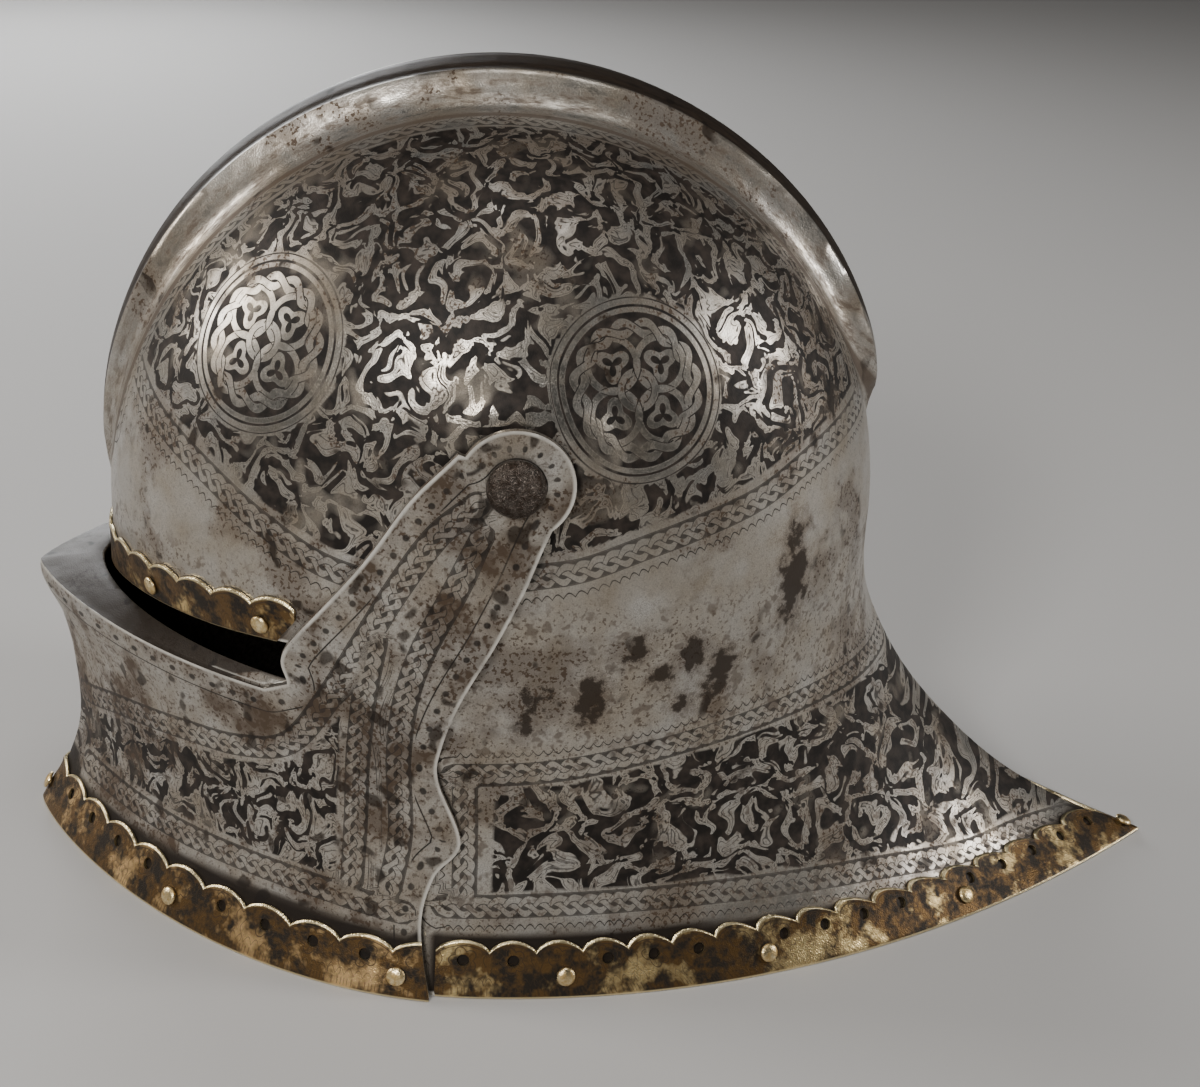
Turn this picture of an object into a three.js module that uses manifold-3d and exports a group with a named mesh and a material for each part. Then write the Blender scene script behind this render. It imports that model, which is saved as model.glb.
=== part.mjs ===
// A visored sallet of etched steel: a bowl with a broad hollow comb and a pointed tail,
// a visor that turns on two rivets, and brass strips with scalloped edges.
// Millimetres. +Z is up, the face looks along -Y, and the wearer's left side is at +X.
import * as THREE from "three";
import { mergeVertices } from "three/addons/utils/BufferGeometryUtils.js";
import Module from "manifold-3d";

const wasm = await Module();
wasm.setup();

const PLATE = 1.9; // thickness of the steel
const STRIP = 0.9; // thickness of the brass
const SEAT = 0.3; // gap between pieces that touch
const CENTRE_Y = -45; // the bowl's middle, seen from the side
const EQUATOR_Z = 125; // where the dome begins
const FULLNESS = 2.4; // the dome's section from the front: 2 is an ellipse, more is squarer
const BELOW_RIM = 6; // the walls are drawn this far past the rim, then cut level
const SKULL_DOME = { halfWidth: 103.5, halfLength: 123, height: 129 };
const VISOR_DOME = { halfWidth: 107, halfLength: 126.2, height: 132.2 };

// Walls below the dome. front and back are lengths from CENTRE_Y, and each half of a section is
// x = halfWidth * sin(t) ^ (2 * power), so 0.5 is an ellipse and 1 is a pointed parabola.
const SKULL_ROWS = [
  { z: -8, halfWidth: 112.6, front: 122.5, back: 256, frontPower: 0.62, backPower: 1.0 },
  { z: 0, halfWidth: 110, front: 122.5, back: 238.8, frontPower: 0.62, backPower: 1.0 },
  { z: 6, halfWidth: 108.2, front: 122.5, back: 223, frontPower: 0.62, backPower: 0.97 },
  { z: 12, halfWidth: 106.5, front: 122.5, back: 209, frontPower: 0.62, backPower: 0.93 },
  { z: 25, halfWidth: 103.2, front: 122.5, back: 186, frontPower: 0.62, backPower: 0.85 },
  { z: 40, halfWidth: 100.6, front: 122.5, back: 167, frontPower: 0.62, backPower: 0.76 },
  { z: 60, halfWidth: 98.8, front: 122.5, back: 147.6, frontPower: 0.62, backPower: 0.66 },
  { z: 80, halfWidth: 98.8, front: 122.5, back: 134.3, frontPower: 0.62, backPower: 0.57 },
  { z: 100, halfWidth: 101, front: 122.7, back: 125.8, frontPower: 0.58, backPower: 0.52 },
  { z: 125, halfWidth: 103.5, front: 123, back: 123, frontPower: 0.5, backPower: 0.5 },
];
const VISOR_ROWS = [
  { z: -8, halfWidth: 116, front: 152, back: 152, frontPower: 0.82, backPower: 0.6 },
  { z: 0, halfWidth: 113.3, front: 148.2, back: 150, frontPower: 0.82, backPower: 0.6 },
  { z: 7, halfWidth: 111.4, front: 144.8, back: 148, frontPower: 0.82, backPower: 0.6 },
  { z: 14, halfWidth: 109.3, front: 141, back: 146, frontPower: 0.82, backPower: 0.6 },
  { z: 33, halfWidth: 105.2, front: 135.6, back: 142, frontPower: 0.82, backPower: 0.6 },
  { z: 57, halfWidth: 102.2, front: 137, back: 136, frontPower: 0.82, backPower: 0.58 },
  { z: 72, halfWidth: 101.8, front: 140.4, back: 132, frontPower: 0.82, backPower: 0.56 },
  { z: 91, halfWidth: 103.5, front: 147, back: 129, frontPower: 0.8, backPower: 0.54 },
  { z: 108, halfWidth: 105.7, front: 130, back: 127, frontPower: 0.58, backPower: 0.52 },
  { z: 125, halfWidth: 107, front: 126.2, back: 126.2, frontPower: 0.5, backPower: 0.5 },
];

// The comb, by angle round the bowl from the front: its height at its edges, and how far from the
// middle its edges and its foot lie.
const COMB = [
  { angle: 0, height: 0, edge: 5, foot: 9 },
  { angle: 8, height: 3.4, edge: 7.5, foot: 12.5 },
  { angle: 20, height: 5.8, edge: 9.5, foot: 16 },
  { angle: 45, height: 8.6, edge: 11.5, foot: 19.5 },
  { angle: 90, height: 9.4, edge: 12.2, foot: 21 },
  { angle: 130, height: 9, edge: 12, foot: 20.5 },
  { angle: 152, height: 7.6, edge: 10, foot: 17 },
  { angle: 160, height: 5.6, edge: 8, foot: 14 },
  { angle: 166, height: 0, edge: 5, foot: 9 },
];
const COMB_KEEL = 1.4; // rise of the comb's middle line above its edges

const PIVOT = { y: -43, z: 167, flat: 17.5, blend: 34, skullX: 100.5, visorX: 104.3 };
const PIVOT_RIVET = {
  headRadius: 8.5,
  headHeight: 5.2,
  shankRadius: 4,
  holeRadius: 4.4,
  collarRadius: 7,
  collarHeight: 1.5,
  play: 1.2, // gap between the plate and the collar
};
const PIVOT_FLAT_FROM = 60; // only points further out than this belong to the flats

// The face opening, seen from the side: the brow's edge, and the cheek's edge down to the rim.
const BROW_EDGE = [
  { y: -169, z: 94 },
  { y: -161, z: 99 },
  { y: -148, z: 102.6 },
  { y: -128, z: 105.4 },
  { y: -104, z: 107.6 },
];
const CHEEK_EDGE = [
  { y: -97, z: 100 },
  { y: -88, z: 70 },
  { y: -82, z: 30 },
  { y: -80, z: -12 },
];

// The plate under the sight: its outer edge is on the visor, its lip comes near the brow.
const LEDGE = { edgeZ: 91, lipZ: 94.4, lipFront: 127, lipHalfWidth: 101.5, lipPower: 0.66, end: 62 };

// The visor seen from the side, from the sight's corner up the arm, round the lobe and down its back.
const ARM_FRONT = [
  { y: -106, z: 95 },
  { y: -106.5, z: 108 },
  { y: -85, z: 140 },
  { y: -72, z: 161 },
  { y: -59.5, z: 176 },
];
const LOBE_RADIUS = 16.8;
const ARM_BACK = [
  { y: -38, z: 138 },
  { y: -46, z: 119 },
  { y: -55, z: 99 },
  { y: -60, z: 82 },
  { y: -60.5, z: 70 },
  { y: -53, z: 50 },
  { y: -60.5, z: 38 },
  { y: -63.5, z: 20 },
  { y: -57.5, z: -12 },
];

// The brass strips: the scallops' spacing, the heights of their cusps and crowns, and the places of
// the round holes and rivets above the strip's foot. hole is the hole's radius.
const TAIL_SCALLOP = { pitch: 16.6, low: 15, high: 18.4, hole: 2, holeAt: 12, rivetAt: 7, isPierced: true };
const VISOR_SCALLOP = { ...TAIL_SCALLOP, pitch: 18 };
const BROW_SCALLOP = { ...TAIL_SCALLOP, pitch: 15, low: 12.4, high: 15.4, rivetAt: 5.6, isPierced: false };
const TAIL_RIVETS = [0.074, 0.2, 0.348, 0.5, 0.652, 0.8, 0.926]; // shares of the strip's length
const VISOR_RIVETS = [0.042, 0.27, 0.5, 0.73, 0.958];
const BROW_RIVETS = [0.05, 0.262, 0.738, 0.95];
const EDGING_PLAY = 1.6; // gap between the tail strip's end and the lowered visor
const BROW_PLAY = 2.6; // and between the brow strip's end and the visor's arm
const TAIL_START = 83.6; // angle across, on the front half, where the tail's strip begins
const VISOR_END = 86; // and where the visor's strip is laid to, before its end is cut
const BROW_END = 61.5; // and the same for the brow's strip

const BRASS_RIVET = { headRadius: 3, headHeight: 1.5, shankRadius: 1.3, holeRadius: 1.55 };

const steel = new THREE.MeshStandardMaterial({ color: 0xa9a49a, roughness: 0.38, metalness: 1 });
const darkSteel = new THREE.MeshStandardMaterial({ color: 0x5a5148, roughness: 0.55, metalness: 1 });
const brass = new THREE.MeshStandardMaterial({ color: 0xb08a45, roughness: 0.4, metalness: 1 });

// A smooth curve through a table's column, with the slopes that its neighbours give, level at its end.
function column(rows, at, key, place) {
  let i = 0;
  while (i < rows.length - 2 && place > rows[i + 1][at]) i += 1;
  const slope = (k) => {
    if (k === rows.length - 1) return 0;
    const a = rows[Math.max(k - 1, 0)];
    const b = rows[k + 1];
    return (b[key] - a[key]) / (b[at] - a[at]);
  };
  const span = rows[i + 1][at] - rows[i][at];
  const s = THREE.MathUtils.clamp((place - rows[i][at]) / span, 0, 1);
  const low = rows[i][key];
  const rise = rows[i + 1][key] - low;
  const m0 = slope(i) * span;
  const m1 = slope(i + 1) * span;
  return low + s * (m0 + s * (3 * rise - 2 * m0 - m1 + s * (m0 + m1 - 2 * rise)));
}

// Near a pivot the plates are beaten flat, square to the hinge's axis.
function flatten(point, pivotX) {
  const r = Math.hypot(point.y - PIVOT.y, point.z - PIVOT.z);
  const own = THREE.MathUtils.smoothstep(r, PIVOT.flat, PIVOT.blend);
  if (own < 1 && Math.abs(point.x) > PIVOT_FLAT_FROM) {
    point.x = Math.sign(point.x) * THREE.MathUtils.lerp(pivotX, Math.abs(point.x), own);
  }
  return point;
}

// How far the comb stands out, across (x) and along (angle) the bowl.
function combHeight(x, angle) {
  const height = column(COMB, "angle", "height", angle);
  if (angle <= COMB[0].angle || angle >= COMB[COMB.length - 1].angle || height <= 0) return 0;
  const edge = column(COMB, "angle", "edge", angle);
  const foot = column(COMB, "angle", "foot", angle);
  const away = Math.abs(x);
  if (away <= edge) return height + COMB_KEEL * (height / COMB[4].height) * (1 - away / edge);
  if (away >= foot) return 0;
  const s = (foot - away) / (foot - edge);
  return height * s * s * (0.55 + 0.45 * s);
}

// A point on the dome. across runs from -90 to 90 degrees, along from 0 (front) to 180 (back).
function domePoint(dome, comb, pivotX, across, along) {
  const b = THREE.MathUtils.degToRad(across);
  const a = THREE.MathUtils.degToRad(along);
  const x = dome.halfWidth * Math.sin(b);
  const tall = Math.pow(Math.max(0, 1 - Math.pow(Math.abs(Math.sin(b)), FULLNESS)), 1 / FULLNESS);
  const out = new THREE.Vector2(-Math.cos(a) / dome.halfLength, Math.sin(a) / dome.height).normalize();
  const lift = comb ? combHeight(x, along) : 0;
  const point = new THREE.Vector3(
    x,
    CENTRE_Y - dome.halfLength * Math.cos(b) * Math.cos(a) + lift * out.x,
    EQUATOR_Z + dome.height * tall * Math.sin(a) + lift * out.y,
  );
  return flatten(point, pivotX);
}

// A point on the wall below the dome, at the same angle across, on the front or the back half.
function wallPoint(rows, pivotX, across, isFront, z) {
  const b = THREE.MathUtils.degToRad(across);
  const power = 2 * column(rows, "z", isFront ? "frontPower" : "backPower", z);
  const length = column(rows, "z", isFront ? "front" : "back", z);
  const point = new THREE.Vector3(
    Math.sign(across) * column(rows, "z", "halfWidth", z) * Math.pow(Math.abs(Math.sin(b)), power),
    CENTRE_Y + (isFront ? -1 : 1) * length * Math.cos(b),
    z,
  );
  return flatten(point, pivotX);
}

const skullForm = {
  dome: (across, along) => domePoint(SKULL_DOME, true, PIVOT.skullX, across, along),
  wall: (across, isFront, z) => wallPoint(SKULL_ROWS, PIVOT.skullX, across, isFront, z),
};
const visorForm = {
  dome: (across, along) => domePoint(VISOR_DOME, false, PIVOT.visorX, across, along),
  wall: (across, isFront, z) => wallPoint(VISOR_ROWS, PIVOT.visorX, across, isFront, z),
};

// The outward normal of a surface given by two parameters, from small steps either way.
function normalOf(surface, u, v, stepU, stepV) {
  const du = surface(u + stepU, v).sub(surface(u - stepU, v));
  const dv = surface(u, v + stepV).sub(surface(u, v - stepV));
  return du.cross(dv).normalize();
}

function wallNormal(form, across, isFront, z) {
  const clamped = THREE.MathUtils.clamp(across, -89.4, 89.4);
  const turn = isFront ? 1 : -1;
  const kept = Math.abs(clamped) < 0.5 ? 0.5 * (Math.sign(clamped) || 1) : clamped;
  const normal = normalOf((u, v) => form.wall(u, isFront, v), kept, z, 0.4, 0.4).multiplyScalar(turn);
  if (Math.abs(across) < 0.5) normal.setX(0).normalize();
  return normal;
}

// Triangles collected into one closed mesh.
class Skin {
  constructor() {
    this.places = [];
  }
  triangle(a, b, c) {
    for (const p of [a, b, c]) this.places.push(p.x, p.y, p.z);
  }
  quad(a, b, c, d) {
    this.triangle(a, b, c);
    this.triangle(a, c, d);
  }
  // A grid of points, seen from outside with rows running up and columns running right.
  grid(rows, inside) {
    for (let i = 0; i + 1 < rows.length; i += 1) {
      for (let j = 0; j + 1 < rows[i].length; j += 1) {
        const [a, b, c, d] = [rows[i][j], rows[i][j + 1], rows[i + 1][j + 1], rows[i + 1][j]];
        if (inside) this.quad(d, c, b, a);
        else this.quad(a, b, c, d);
      }
    }
  }
  geometry() {
    return new THREE.BufferGeometry().setAttribute(
      "position",
      new THREE.BufferAttribute(new Float32Array(this.places), 3),
    );
  }
}

function solid(geometry) {
  const bare = geometry.index ? geometry.toNonIndexed() : geometry.clone();
  bare.deleteAttribute("normal");
  bare.deleteAttribute("uv");
  const merged = mergeVertices(bare, 1e-3);
  const places = merged.attributes.position.array;
  const kept = [];
  const index = merged.index.array;
  for (let i = 0; i < index.length; i += 3) {
    const [a, b, c] = [index[i], index[i + 1], index[i + 2]];
    if (a !== b && b !== c && c !== a) kept.push(a, b, c);
  }
  return new wasm.Manifold(
    new wasm.Mesh({ numProp: 3, vertProperties: places, triVerts: new Uint32Array(kept) }),
  );
}

function geometryOf(manifold) {
  const mesh = manifold.getMesh();
  const geometry = new THREE.BufferGeometry();
  geometry.setAttribute("position", new THREE.BufferAttribute(mesh.vertProperties, 3));
  geometry.setIndex(new THREE.BufferAttribute(mesh.triVerts, 1));
  geometry.computeVertexNormals();
  return geometry;
}

function box(low, high) {
  const size = high.clone().sub(low);
  const middle = high.clone().add(low).multiplyScalar(0.5);
  return solid(new THREE.BoxGeometry(size.x, size.y, size.z).translate(middle.x, middle.y, middle.z));
}

// An outline in the YZ plane, carried straight across the whole helmet.
function acrossX(outline, fromX, toX) {
  const shape = new THREE.Shape(outline.map((p) => new THREE.Vector2(p.y, p.z)));
  const geometry = new THREE.ExtrudeGeometry(shape, { depth: toX - fromX, bevelEnabled: false });
  const turn = new THREE.Matrix4().makeBasis(
    new THREE.Vector3(0, 1, 0),
    new THREE.Vector3(0, 0, 1),
    new THREE.Vector3(1, 0, 0),
  );
  return solid(geometry.applyMatrix4(turn).translate(fromX, 0, 0));
}

// Points on a smooth curve through a list seen from the side.
function smooth(list, count) {
  const curve = new THREE.CatmullRomCurve3(
    list.map((p) => new THREE.Vector3(0, p.y, p.z)),
    false,
    "centripetal",
  );
  return curve.getPoints(count);
}

// A whole bell of even thickness, dome and walls, open at the foot.
function bell(form, acrossList, alongList, zList, thickness) {
  const skin = new Skin();
  const dome = alongList.map((along) => acrossList.map((across) => form.dome(across, along)));
  const domeIn = alongList.map((along, i) =>
    acrossList.map((across, j) => {
      const a = THREE.MathUtils.clamp(along, 0.6, 179.4);
      const b = THREE.MathUtils.clamp(across, -88, 88);
      const normal = normalOf((u, v) => form.dome(u, v), b, a, 0.35, 0.35);
      if (Math.abs(across) > 88) normal.set(Math.sign(across), 0, 0);
      if (across === 0) normal.setX(0).normalize();
      return dome[i][j].clone().addScaledVector(normal, -thickness);
    }),
  );
  skin.grid(dome, false);
  skin.grid(domeIn, true);
  for (const isFront of [true, false]) {
    const order = isFront ? acrossList : [...acrossList].reverse();
    const outer = zList.map((z) => order.map((across) => form.wall(across, isFront, z)));
    const inner = zList.map((z, i) =>
      order.map((across, j) =>
        outer[i][j].clone().addScaledVector(wallNormal(form, across, isFront, z), -thickness),
      ),
    );
    const last = isFront ? 0 : alongList.length - 1;
    const top = acrossList.map((across, j) => dome[last][j]);
    const topIn = acrossList.map((across, j) => domeIn[last][j]);
    outer[outer.length - 1] = isFront ? top : top.reverse();
    inner[inner.length - 1] = isFront ? topIn : topIn.reverse();
    // The two halves share the columns at the sides.
    inner.slice(0, -1).forEach((row, i) => {
      for (const j of [0, row.length - 1]) {
        const side = Math.sign(order[j]);
        const slope = normalOf((u, v) => form.wall(u, true, v), 89 * side, zList[i], 0.4, 0.4);
        slope.setY(0).normalize();
        row[j] = outer[i][j].clone().addScaledVector(slope, -thickness);
      }
    });
    skin.grid(outer, false);
    skin.grid(inner, true);
    for (let j = 0; j + 1 < order.length; j += 1) {
      skin.quad(inner[0][j], inner[0][j + 1], outer[0][j + 1], outer[0][j]);
    }
  }
  return solid(skin.geometry());
}

const belowRim = box(new THREE.Vector3(-200, -260, -60), new THREE.Vector3(200, 260, 0));

// Angles across that put grid lines on the comb's keel, edges and foot, and near the pivots.
const SKULL_ACROSS_MM = [6.5, 12.2, 16, 21, 36, 53, 69, 83, 94, 101];
const VISOR_ACROSS_MM = [7, 18, 32, 48, 64, 79, 91, 100, 104.6];

function mirrored(list, halfWidth) {
  const right = list.map((x) => THREE.MathUtils.radToDeg(Math.asin(x / halfWidth)));
  return [-90, ...right.map((a) => -a).reverse(), 0, ...right, 90];
}

const skullAcross = mirrored(SKULL_ACROSS_MM, SKULL_DOME.halfWidth);
const skullAlong = [0, 8, 18, 34, 52, 70, 88, 106, 124, 140, 152, 160, 166, 180];
const skullHeights = [-BELOW_RIM, 0, 6, 12, 20, 36, 60, 96, EQUATOR_Z];
const visorAcross = mirrored(VISOR_ACROSS_MM, VISOR_DOME.halfWidth);
const visorAlong = [0, 20, 40, 58, 74, 90, 106, 122, 150, 180];
const visorHeights = [-BELOW_RIM, 0, 7, 13, 20, 34, 54, 70, 82, LEDGE.edgeZ, 100, 112, EQUATOR_Z];

// A solid of revolution standing on a point of a surface, along its normal.
function turned(profile, segments, foot, normal) {
  const lathe = new THREE.LatheGeometry(
    profile.map(([r, h]) => new THREE.Vector2(r, h)),
    segments,
  );
  const turn = new THREE.Quaternion().setFromUnitVectors(new THREE.Vector3(0, 1, 0), normal);
  return solid(lathe.applyQuaternion(turn).translate(foot.x, foot.y, foot.z));
}

function drill(radius, segments, foot, normal, depth) {
  return turned([[0, -depth], [radius, -depth], [radius, depth], [0, depth]], segments, foot, normal);
}

// Pivots and their holes.
function pivotFoot(side, x) {
  return new THREE.Vector3(side * x, PIVOT.y, PIVOT.z);
}

function pivotRivet(side) {
  const { headRadius, headHeight, shankRadius, collarRadius, collarHeight, play } = PIVOT_RIVET;
  const headSeat = PIVOT.visorX + 2 * SEAT;
  const collarTop = PIVOT.skullX - PLATE - play - headSeat;
  const profile = [
    [0, collarTop - collarHeight],
    [collarRadius - collarHeight / 2, collarTop - collarHeight],
    [collarRadius, collarTop - collarHeight / 2],
    [collarRadius, collarTop],
    [shankRadius, collarTop],
    [shankRadius, 0],
    [headRadius, 0],
    [headRadius * 0.93, headHeight * 0.42],
    [headRadius * 0.68, headHeight * 0.8],
    [headRadius * 0.34, headHeight * 0.97],
    [0, headHeight],
  ];
  return turned(profile, 12, pivotFoot(side, headSeat), new THREE.Vector3(side, 0, 0));
}

function pivotHoles(target) {
  let left = target;
  for (const side of [-1, 1]) {
    const foot = pivotFoot(side, PIVOT.skullX);
    left = left.subtract(drill(PIVOT_RIVET.holeRadius, 12, foot, new THREE.Vector3(side, 0, 0), 20));
  }
  return left;
}

// Places along a wall, measured from its foot up the metal: columns of [point, normal] by distance.
function climb(form, across, isFront, fromZ, distances) {
  const step = 0.5;
  const found = [];
  let z = fromZ;
  let gone = 0;
  let here = form.wall(across, isFront, z);
  for (const wanted of distances) {
    while (gone < wanted) {
      const next = form.wall(across, isFront, z + step);
      const stride = next.distanceTo(here);
      if (gone + stride >= wanted) {
        z += (step * (wanted - gone)) / stride;
        here = form.wall(across, isFront, z);
        gone = wanted;
      } else {
        z += step;
        here = next;
        gone += stride;
      }
    }
    found.push({ point: here.clone(), normal: wallNormal(form, across, isFront, z) });
  }
  return found;
}

// How much longer a climb is than its distance square to the edge.
function lean(form, { across, isFront, z }) {
  const along = form.wall(across + 0.5, isFront, z).sub(form.wall(across - 0.5, isFront, z)).normalize();
  const up = form.wall(across, isFront, z + 2).sub(form.wall(across, isFront, z)).normalize();
  return 1 / Math.max(along.cross(up).length(), 0.6);
}

// Places above a station of an edge, at distances square to the edge.
function above(form, station, distances) {
  const longer = lean(form, station);
  return climb(form, station.across, station.isFront, station.z, distances.map((d) => d * longer));
}

// A track along an edge, in short steps: the angle across, its half and the height of the edge.
function trackAlong(form, turnFrom, turnTo, edgeZ) {
  const fine = 2400;
  const track = [];
  let run = 0;
  let before = null;
  for (let i = 0; i <= fine; i += 1) {
    const turn = THREE.MathUtils.lerp(turnFrom, turnTo, i / fine);
    const isFront = turn < 90 || turn > 270;
    let across = isFront ? turn : 180 - turn;
    if (turn > 270) across -= 360;
    const z = edgeZ(across);
    const point = form.wall(across, isFront, z);
    if (before) run += point.distanceTo(before);
    before = point;
    track.push({ across, isFront, z, run });
  }
  return { track, length: run };
}

function nearestOn({ track }, run) {
  let low = 0;
  let high = track.length - 1;
  while (high - low > 1) {
    const middle = (low + high) >> 1;
    if (track[middle].run < run) low = middle;
    else high = middle;
  }
  return run - track[low].run < track[high].run - run ? track[low] : track[high];
}

// A strip on the outside of a wall, between its foot and its scalloped top. Each scallop has four
// columns and three rows of faces, and the middle two faces are left open where it is pierced.
function strip(form, path, scallop, pierced) {
  const count = Math.round(path.length / scallop.pitch);
  const pitch = path.length / count;
  const hole = scallop.hole;
  const across = [0, 0.5 - hole / pitch, 0.5, 0.5 + hole / pitch]; // columns, as shares of the pitch
  const arch = [0, 0.8, 1, 0.8]; // and the scallop's rise on each
  const last = scallop.isPierced ? 3 : 1;
  const outer = Array.from({ length: last + 1 }, () => []);
  const inner = Array.from({ length: last + 1 }, () => []);
  for (let i = 0; i <= 4 * count; i += 1) {
    const k = i % 4;
    const run = pitch * (Math.floor(i / 4) + across[k]);
    const station = nearestOn(path, run);
    const top = scallop.low + (scallop.high - scallop.low) * arch[k];
    const half = k === 2 ? hole : 0.5 * hole;
    const heights = scallop.isPierced ? [0, scallop.holeAt - half, scallop.holeAt + half, top] : [0, top];
    above(form, station, heights).forEach(({ point, normal }, row) => {
      inner[row].push(point.clone().addScaledVector(normal, SEAT));
      outer[row].push(point.clone().addScaledVector(normal, SEAT + STRIP));
    });
  }
  const open = (row, j) => row === 1 && (j % 4 === 1 || j % 4 === 2) && pierced(Math.floor(j / 4), pitch);
  const skin = new Skin();
  for (let row = 0; row < last; row += 1) {
    for (let j = 0; j < 4 * count; j += 1) {
      if (open(row, j)) continue;
      skin.quad(outer[row][j], outer[row][j + 1], outer[row + 1][j + 1], outer[row + 1][j]);
      skin.quad(inner[row + 1][j], inner[row + 1][j + 1], inner[row][j + 1], inner[row][j]);
    }
  }
  // The hole's own walls.
  for (let j = 0; j < 4 * count; j += 1) {
    if (last < 2 || !open(1, j)) continue;
    skin.quad(outer[1][j], outer[1][j + 1], inner[1][j + 1], inner[1][j]);
    skin.quad(inner[2][j], inner[2][j + 1], outer[2][j + 1], outer[2][j]);
    if (j % 4 === 1) skin.quad(inner[1][j], inner[2][j], outer[2][j], outer[1][j]);
    else skin.quad(outer[1][j + 1], outer[2][j + 1], inner[2][j + 1], inner[1][j + 1]);
  }
  const end = 4 * count;
  skin.grid([inner[0], outer[0]], false);
  skin.grid([outer[last], inner[last]], false);
  const columnOf = (rows, j) => rows.map((row) => row[j]);
  skin.grid([columnOf(inner, 0), columnOf(outer, 0)], true);
  skin.grid([columnOf(outer, end), columnOf(inner, end)], true);
  return solid(skin.geometry());
}

function spotOn(form, path, run, distance) {
  return above(form, nearestOn(path, run), [distance])[0];
}

function brassRivet(spot) {
  const { headRadius, headHeight, shankRadius } = BRASS_RIVET;
  const base = 2 * SEAT + STRIP;
  const profile = [
    [0, -PLATE],
    [shankRadius, -PLATE],
    [shankRadius, base],
    [headRadius, base],
    [headRadius * 0.8, base + headHeight * 0.65],
    [0, base + headHeight],
  ];
  return turned(profile, 6, spot.point, spot.normal);
}

function rivetHole(spot) {
  return drill(BRASS_RIVET.holeRadius, 6, spot.point, spot.normal, 5);
}

// The brow's edge height at a place across the front.
function browZ(across) {
  const y = skullForm.wall(across, true, 100).y;
  const last = BROW_EDGE.length - 1;
  return column(BROW_EDGE, "y", "z", THREE.MathUtils.clamp(y, BROW_EDGE[0].y, BROW_EDGE[last].y));
}

function makeSkull(rivets) {
  const whole = bell(skullForm, skullAcross, skullAlong, skullHeights, PLATE);
  const opening = [
    { y: -230, z: -12 },
    { y: -230, z: BROW_EDGE[0].z },
    ...smooth(BROW_EDGE, 10),
    ...smooth(CHEEK_EDGE, 8),
  ];
  let skull = whole.subtract(belowRim).subtract(acrossX(opening, -200, 200));
  skull = pivotHoles(skull);
  for (const spot of rivets) skull = skull.subtract(rivetHole(spot));
  return skull;
}

// The ledge under the sight: a plate from the visor's upper edge in to the lip near the brow.
function ledge() {
  const count = 34;
  const skin = new Skin();
  const rows = [[], [], [], []];
  for (let i = 0; i <= count; i += 1) {
    const across = THREE.MathUtils.lerp(-LEDGE.end, LEDGE.end, i / count);
    const edge = visorForm.wall(across, true, LEDGE.edgeZ);
    const inward = wallNormal(visorForm, across, true, LEDGE.edgeZ).setZ(0).normalize();
    edge.addScaledVector(inward, -0.1);
    const rise = LEDGE.lipZ - LEDGE.edgeZ;
    const s = Math.abs(Math.sin(THREE.MathUtils.degToRad(across)));
    const lip = new THREE.Vector3(
      Math.sign(across) * LEDGE.lipHalfWidth * Math.pow(s, 2 * LEDGE.lipPower),
      CENTRE_Y - LEDGE.lipFront * Math.cos(THREE.MathUtils.degToRad(across)),
      LEDGE.edgeZ + rise,
    );
    rows[0].push(edge.clone().setZ(edge.z - PLATE));
    rows[1].push(edge);
    rows[2].push(lip);
    rows[3].push(lip.clone().setZ(lip.z - PLATE));
  }
  skin.grid([...rows, rows[0]], false);
  skin.quad(rows[0][0], rows[1][0], rows[2][0], rows[3][0]);
  skin.quad(rows[3][count], rows[2][count], rows[1][count], rows[0][count]);
  return solid(skin.geometry());
}

// The visor's outline from the side, grown forwards and backwards by margins.
function visorOutline(front, back) {
  const lobe = [];
  for (let i = 0; i <= 12; i += 1) {
    const turn = THREE.MathUtils.degToRad(THREE.MathUtils.lerp(150, -50, i / 12));
    lobe.push({ y: PIVOT.y + LOBE_RADIUS * Math.cos(turn), z: PIVOT.z + LOBE_RADIUS * Math.sin(turn) });
  }
  return [
    { y: -230, z: -12 },
    { y: -230, z: LEDGE.edgeZ },
    { y: -113, z: LEDGE.edgeZ },
    ...smooth(ARM_FRONT, 10).map((p) => ({ y: p.y - front, z: p.z })),
    ...lobe,
    ...smooth(ARM_BACK, 18).map((p) => ({ y: p.y + back, z: p.z })),
  ];
}

function makeVisor(rivets) {
  const whole = bell(visorForm, visorAcross, visorAlong, visorHeights, PLATE);
  let visor = whole.subtract(belowRim).intersect(acrossX(visorOutline(0, 0), -200, 200));
  visor = visor.add(ledge());
  visor = pivotHoles(visor);
  for (const spot of rivets) visor = visor.subtract(rivetHole(spot));
  return visor;
}

// A brass strip with the spots of its rivets, given as shares of its length.
function layStrip(form, turnFrom, turnTo, edgeZ, scallop, rivetShares) {
  const path = trackAlong(form, turnFrom, turnTo, edgeZ);
  const rivets = rivetShares.map((share) => spotOn(form, path, share * path.length, scallop.rivetAt));
  const pierced = (i, pitch) =>
    scallop.isPierced &&
    rivetShares.every((share) => Math.abs(share * path.length - (i + 0.5) * pitch) > 0.45 * pitch);
  let body = strip(form, path, scallop, pierced);
  for (const spot of rivets) body = body.subtract(rivetHole(spot));
  return { body: body.subtract(belowRim), rivets };
}

const atRim = () => 0;
const brow = layStrip(skullForm, -BROW_END, BROW_END, browZ, BROW_SCALLOP, BROW_RIVETS);
const visorBrass = layStrip(visorForm, -VISOR_END, VISOR_END, atRim, VISOR_SCALLOP, VISOR_RIVETS);
const tailBrass = layStrip(skullForm, TAIL_START, 360 - TAIL_START, atRim, TAIL_SCALLOP, TAIL_RIVETS);

const sallet = new THREE.Group();
sallet.name = "sallet";

function put(name, manifold, material) {
  const mesh = new THREE.Mesh(geometryOf(manifold), material);
  mesh.name = name;
  sallet.add(mesh);
}

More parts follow.
